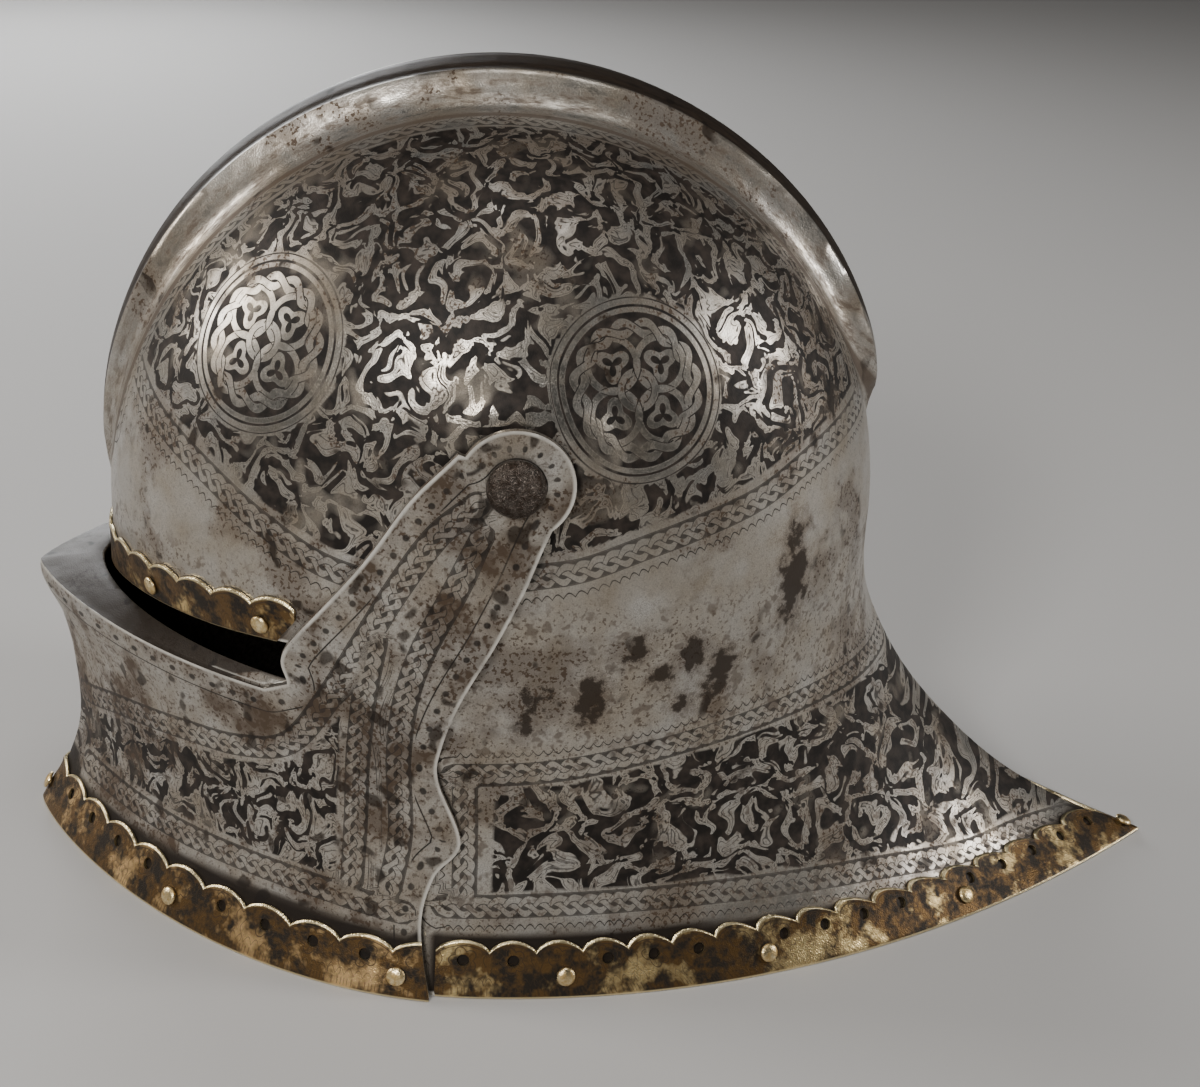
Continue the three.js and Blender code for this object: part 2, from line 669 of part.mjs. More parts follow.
put("skull", makeSkull([...brow.rivets, ...tailBrass.rivets]), steel);
put("visor", makeVisor(visorBrass.rivets), steel);
put("brow_edging", brow.body.subtract(acrossX(visorOutline(BROW_PLAY, 0), -200, 200)), brass);
put("visor_edging", visorBrass.body.intersect(acrossX(visorOutline(0, 0), -200, 200)), brass);
put("tail_edging", tailBrass.body.subtract(acrossX(visorOutline(0, EDGING_PLAY), -200, 200)), brass);
put("pivot_left", pivotRivet(1), darkSteel);
put("pivot_right", pivotRivet(-1), darkSteel);
brow.rivets.forEach((spot, i) => put(`brow_rivet_${i + 1}`, brassRivet(spot), brass));
visorBrass.rivets.forEach((spot, i) => put(`visor_rivet_${i + 1}`, brassRivet(spot), brass));
tailBrass.rivets.forEach((spot, i) => put(`tail_rivet_${i + 1}`, brassRivet(spot), brass));

export default sallet;
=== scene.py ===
import math

import bpy
import numpy as np
from mathutils import Matrix, Vector


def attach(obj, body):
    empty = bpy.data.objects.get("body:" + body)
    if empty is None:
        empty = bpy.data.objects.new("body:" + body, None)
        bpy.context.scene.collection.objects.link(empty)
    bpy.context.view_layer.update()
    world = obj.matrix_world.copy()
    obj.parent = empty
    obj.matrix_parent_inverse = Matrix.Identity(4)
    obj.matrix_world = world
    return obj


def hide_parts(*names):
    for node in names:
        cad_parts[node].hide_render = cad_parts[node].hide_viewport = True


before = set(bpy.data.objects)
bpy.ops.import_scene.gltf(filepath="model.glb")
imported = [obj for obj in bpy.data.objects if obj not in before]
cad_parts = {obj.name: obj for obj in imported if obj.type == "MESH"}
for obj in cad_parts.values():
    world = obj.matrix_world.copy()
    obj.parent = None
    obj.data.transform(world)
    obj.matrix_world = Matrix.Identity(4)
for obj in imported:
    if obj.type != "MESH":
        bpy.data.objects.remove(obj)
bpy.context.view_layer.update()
metres = 0.001  # everything below is worked out in millimetres

shape = {
    "plate": 1.9,
    "strip": 0.9,
    "seat": 0.3,
    "centreY": -45.0,
    "equatorZ": 125.0,
    "fullness": 2.4,
    "skullDome": (103.5, 123.0, 129.0),
    "visorDome": (107.0, 126.2, 132.2),
    "keel": 1.4,
    "pivotY": -43.0,
    "pivotZ": 167.0,
    "flat": 17.5,
    "blend": 34.0,
    "skullX": 100.5,
    "visorX": 104.3,
}


def table(names, rows):
    # A table of named columns
    return dict(zip(names.split(), np.array(rows, float).T))


wallNames = "z halfWidth front back frontPower backPower"
skullRows = table(
    wallNames,
    [
        (-8, 112.6, 122.5, 256, 0.62, 1.0),
        (0, 110, 122.5, 238.8, 0.62, 1.0),
        (6, 108.2, 122.5, 223, 0.62, 0.97),
        (12, 106.5, 122.5, 209, 0.62, 0.93),
        (25, 103.2, 122.5, 186, 0.62, 0.85),
        (40, 100.6, 122.5, 167, 0.62, 0.76),
        (60, 98.8, 122.5, 147.6, 0.62, 0.66),
        (80, 98.8, 122.5, 134.3, 0.62, 0.57),
        (100, 101, 122.7, 125.8, 0.58, 0.52),
        (125, 103.5, 123, 123, 0.5, 0.5),
    ],
)
visorRows = table(
    wallNames,
    [
        (-8, 116, 152, 152, 0.82, 0.6),
        (0, 113.3, 148.2, 150, 0.82, 0.6),
        (7, 111.4, 144.8, 148, 0.82, 0.6),
        (14, 109.3, 141, 146, 0.82, 0.6),
        (33, 105.2, 135.6, 142, 0.82, 0.6),
        (57, 102.2, 137, 136, 0.82, 0.58),
        (72, 101.8, 140.4, 132, 0.82, 0.56),
        (91, 103.5, 147, 129, 0.8, 0.54),
        (108, 105.7, 130, 127, 0.58, 0.52),
        (125, 107, 126.2, 126.2, 0.5, 0.5),
    ],
)
combRows = table(
    "angle height edge foot",
    [
        (0, 0, 5, 9),
        (8, 3.4, 7.5, 12.5),
        (20, 5.8, 9.5, 16),
        (45, 8.6, 11.5, 19.5),
        (90, 9.4, 12.2, 21),
        (130, 9, 12, 20.5),
        (152, 7.6, 10, 17),
        (160, 5.6, 8, 14),
        (166, 0, 5, 9),
    ],
)


def curve(xs, ys, at):
    # A smooth curve through a column: cubic pieces with the slopes that the neighbours give, level at the
    # end
    at = np.asarray(at, float)
    n = len(xs)
    slopes = np.empty(n)
    slopes[1:-1] = (ys[2:] - ys[:-2]) / (xs[2:] - xs[:-2])
    slopes[0] = (ys[1] - ys[0]) / (xs[1] - xs[0])
    slopes[-1] = 0.0
    i = np.searchsorted(xs[1:-1], at, side="left")
    span = xs[i + 1] - xs[i]
    s = np.clip((at - xs[i]) / span, 0, 1)
    low = ys[i]
    rise = ys[i + 1] - low
    m0 = slopes[i] * span
    m1 = slopes[i + 1] * span
    return low + s * (m0 + s * (3 * rise - 2 * m0 - m1 + s * (m0 + m1 - 2 * rise)))


def column(rows, key, z):
    return curve(rows["z"], rows[key], z)


def flatten(p, pivotX):
    # Near a pivot the plate is flat, square to the hinge's axis
    r = np.hypot(p[..., 1] - shape["pivotY"], p[..., 2] - shape["pivotZ"])
    t = np.clip((r - shape["flat"]) / (shape["blend"] - shape["flat"]), 0, 1)
    own = np.where(np.abs(p[..., 0]) > 60, t * t * (3 - 2 * t), 1)
    p[..., 0] = np.sign(p[..., 0]) * (pivotX + (np.abs(p[..., 0]) - pivotX) * own)
    return p


def combLift(x, angle):
    # The comb's height: a keeled top with a small bead along each edge, and hollow flanks down to its foot
    keys = "height", "edge", "foot"
    height, edge, foot = (curve(combRows["angle"], combRows[key], angle) for key in keys)
    height = np.maximum(height, 0)
    away = np.abs(x)
    top = height + shape["keel"] * height / 9.4 * (1 - away / edge)
    top = top - 0.05 * height * np.exp(-(((away - edge + 3.4) / 1.5) ** 2))
    s = np.clip((foot - away) / (foot - edge), 0, 1)
    side = height * s * s * (0.55 + 0.45 * s)
    lift = np.where(away <= edge, top, side)
    groove = 0.35 * np.exp(-(((away - foot - 0.6) / 0.9) ** 2)) * np.clip(height / 4, 0, 1)
    return np.where((angle <= 0) | (angle >= combRows["angle"][-1]), 0, lift - groove)


def domePoint(dome, comb, pivotX, across, along):
    # across runs from -90 to 90 degrees over the crown, along from 0 (front) to 180 (back)
    b, a = np.radians(across), np.radians(along)
    x = dome[0] * np.sin(b)
    tall = np.maximum(0, 1 - np.abs(np.sin(b)) ** shape["fullness"]) ** (1 / shape["fullness"])
    outY, outZ = -np.cos(a) / dome[1], np.sin(a) / dome[2]
    size = np.hypot(outY, outZ)
    lift = combLift(x, along) if comb else 0
    y = shape["centreY"] - dome[1] * np.cos(b) * np.cos(a) + lift * outY / size
    z = shape["equatorZ"] + dome[2] * tall * np.sin(a) + lift * outZ / size
    return flatten(np.stack([x + 0 * y, y, z], -1), pivotX)


def wallPoint(rows, pivotX, turn, z):
    # turn runs from -90 to 270 degrees round the helmet: 0 is the front, 90 the left side, 180 the back
    turn, z = np.broadcast_arrays(np.asarray(turn, float), np.asarray(z, float))
    isFront = (turn <= 90) | (turn >= 270)
    t = np.radians(turn)
    sine, cosine = np.sin(t), np.cos(t)
    power = 2 * np.where(isFront, column(rows, "frontPower", z), column(rows, "backPower", z))
    reach = np.where(isFront, column(rows, "front", z), column(rows, "back", z))
    x = np.sign(sine) * column(rows, "halfWidth", z) * np.abs(sine) ** power
    y = shape["centreY"] - reach * cosine
    return flatten(np.stack([x, y, z], -1), pivotX)


def unit(v):
    return v / np.maximum(np.linalg.norm(v, axis=-1, keepdims=True), 1e-9)


def wallNormal(rows, pivotX, turn, z):
    # The cross product of small steps round and up, kept off the front, back and side lines where powers
    # fail
    turn, z = np.broadcast_arrays(np.asarray(turn, float), np.asarray(z, float))
    kept = turn.copy()
    for line in (-90, 0, 90, 180, 270):
        near = np.abs(kept - line) < 0.7
        kept = np.where(near, line + 0.7 * np.where(kept >= line, 1, -1), kept)
    du = wallPoint(rows, pivotX, kept + 0.3, z) - wallPoint(rows, pivotX, kept - 0.3, z)
    dv = wallPoint(rows, pivotX, kept, z + 0.3) - wallPoint(rows, pivotX, kept, z - 0.3)
    n = unit(np.cross(du, dv))
    onMiddle = (np.abs(turn) < 0.05) | (np.abs(turn - 180) < 0.05)
    n[..., 0] = np.where(onMiddle, 0, n[..., 0])
    onSide = (np.abs(np.abs(turn) - 90) < 0.05) | (np.abs(turn - 270) < 0.05)
    n[..., 1] = np.where(onSide, 0, n[..., 1])
    return unit(n)


def domeNormal(dome, comb, pivotX, across, along):
    b = np.clip(across, -88.5, 88.5)
    a = np.clip(along, 0.4, 179.6)
    du = domePoint(dome, comb, pivotX, b + 0.25, a) - domePoint(dome, comb, pivotX, b - 0.25, a)
    dv = domePoint(dome, comb, pivotX, b, a + 0.25) - domePoint(dome, comb, pivotX, b, a - 0.25)
    n = unit(np.cross(du, dv))
    n[..., 0] = np.where(np.abs(across) < 0.05, 0, n[..., 0])
    atSide = (np.abs(across) > 88.5)[..., None]
    return np.where(atSide, np.stack([np.sign(across), 0 * across, 0 * across], -1), unit(n))


def makeMesh(name, points, faces):
    # points in millimetres, faces in blocks of three or four columns. A quad with a doubled corner becomes
    # a triangle, and points that no face uses are left out.
    rows = []
    for block in faces:
        block = block.reshape(-1, block.shape[-1])
        if block.shape[1] == 4:
            block = np.concatenate([block[:, [0, 1, 2]], block[:, [0, 2, 3]]])
        rows.append(block)
    tris = np.concatenate(rows)
    good = (tris[:, 0] != tris[:, 1]) & (tris[:, 1] != tris[:, 2]) & (tris[:, 2] != tris[:, 0])
    used = np.zeros(len(points), bool)
    used[tris[good].ravel()] = True
    tris = (np.cumsum(used) - 1)[tris[good]]
    points = points[used] * metres
    mesh = bpy.data.meshes.new(name)
    mesh.vertices.add(len(points))
    mesh.vertices.foreach_set("co", points.astype(np.float32).ravel())
    mesh.loops.add(3 * len(tris))
    mesh.loops.foreach_set("vertex_index", tris.astype(np.int32).ravel())
    mesh.polygons.add(len(tris))
    mesh.polygons.foreach_set("loop_start", np.arange(0, 3 * len(tris), 3, dtype=np.int32))
    mesh.update(calc_edges=True)
    mesh.validate()
    return mesh


def makeObject(name, mesh):
    piece = bpy.data.objects.new(name, mesh)
    bpy.context.scene.collection.objects.link(piece)
    return piece


def quads(grid):
    # The faces of a grid of point numbers, rows running up and columns running right as seen from outside
    return np.stack([grid[:-1, :-1], grid[:-1, 1:], grid[1:, 1:], grid[1:, :-1]], -1).reshape(-1, 4)


def prism(name, outline, halfWidth=200):
    # An outline in the YZ plane carried straight across the helmet
    n = len(outline)
    ring = np.array(outline, float)
    area = np.sum(ring[:, 0] * np.roll(ring[:, 1], -1) - np.roll(ring[:, 0], -1) * ring[:, 1])
    ring = ring if area > 0 else ring[::-1]
    points = np.concatenate([np.column_stack([np.full(n, x), ring]) for x in (-halfWidth, halfWidth)])
    mesh = bpy.data.meshes.new(name)
    faces = [list(range(n))[::-1], list(range(n, 2 * n))]
    faces += [[i, (i + 1) % n, n + (i + 1) % n, n + i] for i in range(n)]
    mesh.from_pydata((points * metres).tolist(), [], faces)
    return makeObject(name, mesh)


def cut(piece, cutter, operation):
    # Cuts a closed mesh with another and keeps the result as plain mesh
    step = piece.modifiers.new("cut", "BOOLEAN")
    step.operation = operation
    step.solver = "MANIFOLD"
    step.object = cutter
    graph = bpy.context.evaluated_depsgraph_get()
    made = bpy.data.meshes.new_from_object(piece.evaluated_get(graph))
    piece.modifiers.clear()
    old = piece.data
    piece.data = made
    made.name = piece.name
    bpy.data.meshes.remove(old)
    bpy.data.objects.remove(cutter)


def shell(name, rows, dome, comb, pivotX, acrossList, alongList, zList):
    # A bell of even thickness: a dome grid over two wall grids that share its lower edge
    n = len(acrossList)
    across, along = np.meshgrid(acrossList, alongList)
    domeOut = domePoint(dome, comb, pivotX, across, along)
    domeIn = domeOut - shape["plate"] * domeNormal(dome, comb, pivotX, across, along)
    turns = np.concatenate([acrossList, 180 - acrossList[::-1][1:-1]])  # once round, the side columns shared
    turnGrid, zGrid = np.meshgrid(turns, zList)
    wallOut = wallPoint(rows, pivotX, turnGrid, zGrid)
    wallIn = wallOut - shape["plate"] * wallNormal(rows, pivotX, turnGrid, zGrid)
    m, k = wallOut.shape[:2]
    domeCount = len(alongList)
    wallIds = np.arange(m * k).reshape(m, k)
    domeIds = m * k + np.arange(domeCount * n).reshape(domeCount, n)
    # the wall's top row is the dome's edge
    domeIds[0] = wallIds[-1, :n]
    backRow = np.concatenate([wallIds[-1, n - 1 :], wallIds[-1, :1]])
    domeIds[-1] = backRow[::-1]
    domeIds[:, 0] = wallIds[-1, 0]
    domeIds[:, -1] = wallIds[-1, n - 1]
    ring = np.concatenate([wallIds, wallIds[:, :1]], 1)
    out = np.concatenate([wallOut.reshape(-1, 3), domeOut.reshape(-1, 3)])
    inner = np.concatenate([wallIn.reshape(-1, 3), domeIn.reshape(-1, 3)])
    shift = len(out)
    faces = [quads(ring), quads(domeIds), quads(ring + shift)[:, ::-1], quads(domeIds + shift)[:, ::-1]]
    foot = np.stack([ring[0, :-1] + shift, ring[0, 1:] + shift, ring[0, 1:], ring[0, :-1]], -1)
    return makeObject(name, makeMesh(name, np.concatenate([out, inner]), faces + [foot]))


def spline(points, count):
    # A smooth line through points (Catmull-Rom pieces)
    p = np.array(points, float)
    p = np.concatenate([2 * p[:1] - p[1:2], p, 2 * p[-1:] - p[-2:-1]])
    at = np.linspace(0, len(p) - 3 - 1e-9, count)
    i = at.astype(int)
    t = (at - i)[:, None]
    a, b, c, d = p[i], p[i + 1], p[i + 2], p[i + 3]
    return 0.5 * (2 * b + (c - a) * t + (2 * a - 5 * b + 4 * c - d) * t**2 + (3 * b - a - 3 * c + d) * t**3)


def mirrorList(values):
    values = np.asarray(values, float)
    return np.concatenate([-values[::-1], [0.0], values])


browEdge = [(-169, 94), (-161, 99), (-148, 102.6), (-128, 105.4), (-104, 107.6)]
cheekEdge = [(-97, 100), (-88, 70), (-82, 30), (-80, -12)]
armFront = [(-106, 95), (-106.5, 108), (-85, 140), (-72, 161), (-59.5, 176)]
armBack = [(-38, 138), (-46, 119), (-55, 99), (-60, 82), (-60.5, 70), (-53, 50), (-60.5, 38), (-63.5, 20)]
armBack += [(-57.5, -12)]
lobeRadius = 16.8
ledgeZ = 91.0


def visorOutline(front=0.0, back=0.0, foot=0.0):
    turn = np.radians(np.linspace(150, -50, 33))
    lobe = lobeRadius * np.column_stack([np.cos(turn), np.sin(turn)]) + [shape["pivotY"], shape["pivotZ"]]
    arm = spline(armFront, 41) - [front, 0]
    rear = spline(armBack, 81) + [back, 0]
    rear = rear[rear[:, 1] > foot]
    ends = [(-230, foot), (-230, ledgeZ), (-113, ledgeZ)]
    return np.concatenate([ends, arm, lobe, rear, [(rear[-1, 0], foot)]])


def skullCutter():
    opening = np.concatenate([[(-230, 94)], spline(browEdge, 41), spline(cheekEdge, 31)])
    opening = opening[opening[:, 1] > 0]
    return np.concatenate([opening, [(opening[-1, 0], 0), (260, 0), (260, -60), (-230, -60)]])


def distanceTo(points, line, block=20000):
    # Shortest distance from points to a line of many short pieces, and the place along it, in blocks
    starts, ends = line[:-1], line[1:]
    step = ends - starts
    lengths = np.linalg.norm(step, axis=1)
    before = np.concatenate([[0], np.cumsum(lengths)[:-1]])
    best = np.empty(len(points))
    along = np.empty(len(points))
    which = np.empty(len(points), int)
    for first in range(0, len(points), block):
        some = slice(first, first + block)
        p = points[some]
        t = np.einsum("nmk,mk->nm", p[:, None] - starts, step) / np.maximum(lengths**2, 1e-9)
        t = np.clip(t, 0, 1)
        away = np.linalg.norm(p[:, None] - starts - t[..., None] * step, axis=2)
        i = np.argmin(away, axis=1)
        row = np.arange(len(p))
        best[some], along[some], which[some] = away[row, i], before[i] + t[row, i] * lengths[i], i
    return best, along, which


print("shape formulas ready")

# steps in degrees, over the comb and up the wall in millimetres
skull = {"combStep": 1.15, "combTo": 26.0, "acrossStep": 1.3, "alongStep": 1.15, "heightStep": 2.2}


def levels(step):
    # the heights of a wall's rows, from under the rim to the dome's edge
    return np.concatenate([[-6, -3], np.linspace(0, shape["equatorZ"], round(shape["equatorZ"] / step))])


def makeSkull():
    fine = np.arange(skull["combStep"], skull["combTo"], skull["combStep"]) / shape["skullDome"][0]
    fine = np.degrees(np.arcsin(fine))
    coarse = np.linspace(fine[-1] + 0.7, 90, round((90 - fine[-1]) / skull["acrossStep"]))
    acrossList = mirrorList(np.concatenate([fine, coarse]))
    grid = acrossList, np.linspace(0, 180, round(180 / skull["alongStep"])), levels(skull["heightStep"])
    piece = shell("skullShell", skullRows, shape["skullDome"], True, shape["skullX"], *grid)
    cut(piece, prism("skullCutter", skullCutter()), "DIFFERENCE")
    return piece


visor = {"acrossStep": 0.95, "alongStep": 1.6, "heightStep": 1.7}
ledge = {
    "lipZ": 94.4,
    "lipFront": 127.0,
    "lipHalfWidth": 101.5,
    "lipPower": 0.66,
    "end": 62.0,  # degrees from the middle
    "columns": 160,
    "sink": 0.1,  # how far its foot stands in the plate
}


def makeLedge():
    across = np.linspace(-ledge["end"], ledge["end"], ledge["columns"])
    edge = wallPoint(visorRows, shape["visorX"], across, ledgeZ)
    inward = wallNormal(visorRows, shape["visorX"], across, ledgeZ)
    inward[:, 2] = 0
    edge = edge - ledge["sink"] * unit(inward)
    s, c = np.sin(np.radians(across)), np.cos(np.radians(across))
    x = np.sign(across) * ledge["lipHalfWidth"] * np.abs(s) ** (2 * ledge["lipPower"])
    lip = np.column_stack([x, shape["centreY"] - ledge["lipFront"] * c, np.full(len(x), ledge["lipZ"])])
    down = np.array([0, 0, shape["plate"]])
    inner = unit(lip - edge) * [1, 1, 0]
    rounding = [(lip, 0, 0), (lip, 0.55, 0.25), (lip, 0.8, 0.95), (lip, 0.55, 1.65), (lip, 0, 1.9)]
    rows = [edge - down, edge] + [edge + (lip - edge) * k for k in (0.25, 0.5, 0.75)]
    rows += [p + inner * out - np.array([0, 0, drop]) for p, out, drop in rounding]
    n, m = len(rows), len(across)
    ids = np.arange(n * m).reshape(n, m)
    ring = np.concatenate([ids, ids[:1]])
    caps = []
    for column, turned in ((0, False), (m - 1, True)):
        fan = np.stack([np.full(n - 2, ids[0, column]), ids[1:-1, column], ids[2:, column]], -1)
        caps.append(fan[:, ::-1] if turned else fan)
    return makeObject("ledge", makeMesh("ledge", np.concatenate(rows), [quads(ring)] + caps))


def makeVisor():
    acrossList = np.linspace(-90, 90, 2 * round(90 / visor["acrossStep"]) + 1)
    grid = acrossList, np.linspace(0, 180, round(180 / visor["alongStep"])), levels(visor["heightStep"])
    piece = shell("visorShell", visorRows, shape["visorDome"], False, shape["visorX"], *grid)
    cut(piece, prism("visorCutter", visorOutline()), "INTERSECT")
    cut(piece, makeLedge(), "UNION")
    return piece


tailScallop = {
    "pitch": 16.6,
    "low": 15.0,
    "high": 18.4,
    "hole": 1.9,
    "holeAt": 12.0,
    "rivetAt": 7.0,
    "pierced": True,
}
visorScallop = dict(tailScallop, pitch=18.0)
browScallop = dict(tailScallop, pitch=15.0, low=12.4, high=15.4, rivetAt=5.6, pierced=False)
tailRivets = [0.074, 0.2, 0.348, 0.5, 0.652, 0.8, 0.926]
visorRivets = [0.042, 0.27, 0.5, 0.73, 0.958]
browRivets = [0.05, 0.262, 0.738, 0.95]
stripRows = [0, 0.02, 0.05, 0.12, 0.22, 0.33, 0.44, 0.55, 0.66, 0.76, 0.84, 0.9, 0.94, 0.97, 0.985, 1]
stripColumns = 16  # to each scallop


def browZ(turn):
    y = wallPoint(skullRows, shape["skullX"], turn, 100.0)[..., 1]
    ys, zs = np.array(browEdge, float).T
    return curve(ys, zs, np.clip(y, ys[0], ys[-1]))


def atRim(turn):
    return 0 * turn


class Path:
    # An edge of the wall, by distance run along it

    def __init__(self, rows, pivotX, turnFrom, turnTo, edgeZ):
        self.rows, self.pivotX, self.edgeZ = rows, pivotX, edgeZ
        self.turns = np.linspace(turnFrom, turnTo, 4800)
        p = wallPoint(rows, pivotX, self.turns, edgeZ(self.turns))
        self.run = np.concatenate([[0], np.cumsum(np.linalg.norm(np.diff(p, axis=0), axis=1))])
        self.length = self.run[-1]

    def climb(self, run, heights):
        # Points and normals at distances up the wall, square to the edge; heights has a row for each run
        turn = np.interp(run, self.run, self.turns)
        foot = self.edgeZ(turn)
        point = lambda t, z: wallPoint(self.rows, self.pivotX, t, z)
        along = unit(point(turn + 0.5, foot) - point(turn - 0.5, foot))
        up = unit(point(turn, foot + 2) - point(turn, foot))
        lean = 1 / np.maximum(np.linalg.norm(np.cross(along, up), axis=-1), 0.6)
        zs = foot[:, None] + np.arange(0, 33, 0.5)
        ladder = point(turn[:, None] + 0 * zs, zs)
        rungs = np.linalg.norm(np.diff(ladder, axis=1), axis=2)
        gone = np.concatenate([np.zeros((len(run), 1)), np.cumsum(rungs, axis=1)], 1)
        wanted = heights * lean[:, None]
        i = np.clip((gone[:, None, :] <= wanted[:, :, None]).sum(-1) - 1, 0, zs.shape[1] - 2)
        low, high = np.take_along_axis(gone, i, 1), np.take_along_axis(gone, i + 1, 1)
        z = np.take_along_axis(zs, i, 1) + 0.5 * (wanted - low) / (high - low)
        turns = turn[:, None] + 0 * z
        return point(turns, z), wallNormal(self.rows, self.pivotX, turns, z)


def frameAt(normal):
    side = unit(np.cross([0.0, 0.0, 1.0], normal))
    return np.column_stack([side, np.cross(normal, side), normal])


def lathe(profile, segments, foot, normal):
    # Points and faces of a turned solid; profile runs from the axis, outwards and back to it
    profile = np.array(profile, float)
    turn = np.linspace(0, 2 * np.pi, segments, endpoint=False)
    out, up = profile[:, :1], profile[:, 1:]
    local = np.stack([out * np.cos(turn), out * np.sin(turn), up + 0 * turn], -1)
    ids = np.arange(len(profile) * segments).reshape(len(profile), segments)
    ids[0], ids[-1] = ids[0, 0], ids[-1, 0]
    ids = np.concatenate([ids, ids[:, :1]], 1)
    return local.reshape(-1, 3) @ frameAt(normal).T + foot, quads(ids)


def layStrip(name, path, scallop, rivetShares):
    # A strip on the outside of a wall with its scalloped upper edge, its holes and its rivets' spots
    count = round(path.length / scallop["pitch"])
    pitch = path.length / count
    columns = np.arange(count * stripColumns + 1)
    run = pitch * columns / stripColumns
    part = (columns % stripColumns) / stripColumns
    top = scallop["low"] + (scallop["high"] - scallop["low"]) * np.sin(np.pi * part) ** 0.7
    w = np.array(stripRows)
    heights = top[:, None] * w
    p, n = path.climb(run, heights)
    fromTop = top[:, None] - heights
    fromEdge = np.minimum(heights, fromTop)
    rolled = 0.35 * np.exp(-((fromEdge / 0.35) ** 2))
    bead = 0.16 * np.exp(-(((fromTop - 0.8) / 0.5) ** 2))
    thick = shape["strip"] - rolled + bead
    outer = p + n * (shape["seat"] + thick)[..., None]
    inner = p + n * shape["seat"]
    m, k = heights.shape
    ids = np.arange(m * k).reshape(m, k)
    shift = m * k
    faces = [quads(ids.T), quads(ids.T + shift)[:, ::-1]]
    border = np.concatenate([ids[:-1, 0], ids[-1, :-1], ids[::-1][:-1, -1], ids[0, ::-1][:-1]])
    nextOne = np.roll(border, -1)
    faces.append(np.stack([border + shift, nextOne + shift, nextOne, border], -1))
    mesh = makeMesh(name, np.concatenate([outer.reshape(-1, 3), inner.reshape(-1, 3)]), faces)
    place = np.stack([run[:, None] + 0 * heights, heights], -1).reshape(-1, 2)
    rise = np.stack([part[:, None] + 0 * heights, fromTop], -1).reshape(-1, 2)
    corners = np.empty(len(mesh.loops), np.int32)
    mesh.loops.foreach_get("vertex_index", corners)
    corners %= shift
    for layer, values in (("place", place), ("rise", rise)):
        uv = mesh.uv_layers.new(name=layer)
        uv.data.foreach_set("uv", (values[corners] * 0.01).astype(np.float32).ravel())
    piece = makeObject(name, mesh)
    shares = np.array(rivetShares)
    spots = path.climb(shares * path.length, np.full((len(shares), 1), scallop["rivetAt"]))
    spots = list(zip(spots[0][:, 0], spots[1][:, 0]))
    if scallop["pierced"]:
        middles = (np.arange(count) + 0.5) * pitch
        free = np.all(np.abs(middles[:, None] - shares * path.length) > 0.45 * pitch, axis=1)
        at, out = path.climb(middles[free], np.full((free.sum(), 1), scallop["holeAt"]))
        r = scallop["hole"]
        punch = [(0, -3), (r, -3), (r, 4), (0, 4)]
        points, faces, total = [], [], 0
        for foot, normal in zip(at[:, 0], out[:, 0]):
            some, rows = lathe(punch, 20, foot, normal)
            points.append(some)
            faces.append(rows + total)
            total += len(some)
        cutter = makeObject("holes", makeMesh("holes", np.concatenate(points), faces))
        cut(piece, cutter, "DIFFERENCE")
    return piece, spots, pitch


brassRivet = {"radius": 3.0, "height": 1.5, "shank": 1.3, "segments": 28, "rings": 8}
pivotRivet = {"radius": 8.5, "height": 5.2, "shank": 4.0, "collar": 7.0, "collarHeight": 1.5, "play": 1.2}


def domeProfile(radius, height, base, rings):
    # A flat-topped dome from its edge to the axis
    a = np.linspace(0, np.pi / 2, rings)
    return [(radius * math.cos(t) ** 0.8, base + height * math.sin(t)) for t in a[:-1]] + [(0, base + height)]


def latheMesh(name, profile, segments, foot, normal):
    points, faces = lathe(profile, segments, foot, normal)
    return makeObject(name, makeMesh(name, points, [faces]))


def makeRivet(name, spot):
    base = 2 * shape["seat"] + shape["strip"]
    r = brassRivet["radius"]
    profile = [(0, -1.9), (brassRivet["shank"], -1.9), (brassRivet["shank"], base), (r - 0.2, base)]
    profile += domeProfile(r, brassRivet["height"] - 0.3, base + 0.3, brassRivet["rings"])
    return latheMesh(name, profile, brassRivet["segments"], spot[0], spot[1])


def makePivot(name, side):
    q = pivotRivet
    seat = shape["visorX"] + 2 * shape["seat"]
    top = shape["skullX"] - shape["plate"] - q["play"] - seat
    profile = [
        (0, top - q["collarHeight"]),
        (q["collar"] - 0.7, top - q["collarHeight"]),
        (q["collar"], top - 0.7),
        (q["collar"], top),
        (q["shank"], top),
        (q["shank"], 0),
        (q["radius"] - 0.4, 0),
        (q["radius"], 0.4),
    ]
    profile += domeProfile(q["radius"], q["height"] - 0.9, 0.9, 14)
    foot = np.array([side * seat, shape["pivotY"], shape["pivotZ"]])
    return latheMesh(name, profile, 48, foot, np.array([float(side), 0, 0]))


skullPiece = makeSkull()
print("skull", len(skullPiece.data.polygons), "faces")
visorPiece = makeVisor()
print("visor", len(visorPiece.data.polygons), "faces")

browPath = Path(skullRows, shape["skullX"], -61.5, 61.5, browZ)
visorPath = Path(visorRows, shape["visorX"], -86, 86, atRim)
tailPath = Path(skullRows, shape["skullX"], 83.6, 276.4, atRim)
browPiece, browSpots, browPitch = layStrip("browBrass", browPath, browScallop, browRivets)
visorBrass, visorSpots, visorPitch = layStrip("visorBrass", visorPath, visorScallop, visorRivets)
tailBrass, tailSpots, tailPitch = layStrip("tailBrass", tailPath, tailScallop, tailRivets)
cut(browPiece, prism("browEnd", visorOutline(front=2.6)), "DIFFERENCE")
cut(visorBrass, prism("visorEnd", visorOutline()), "INTERSECT")
cut(tailBrass, prism("tailEnd", visorOutline(back=1.6, foot=-20)), "DIFFERENCE")
floorCut = [(-260, -60), (260, -60), (260, 0), (-260, 0)]
cut(tailBrass, prism("floorCut", floorCut), "DIFFERENCE")
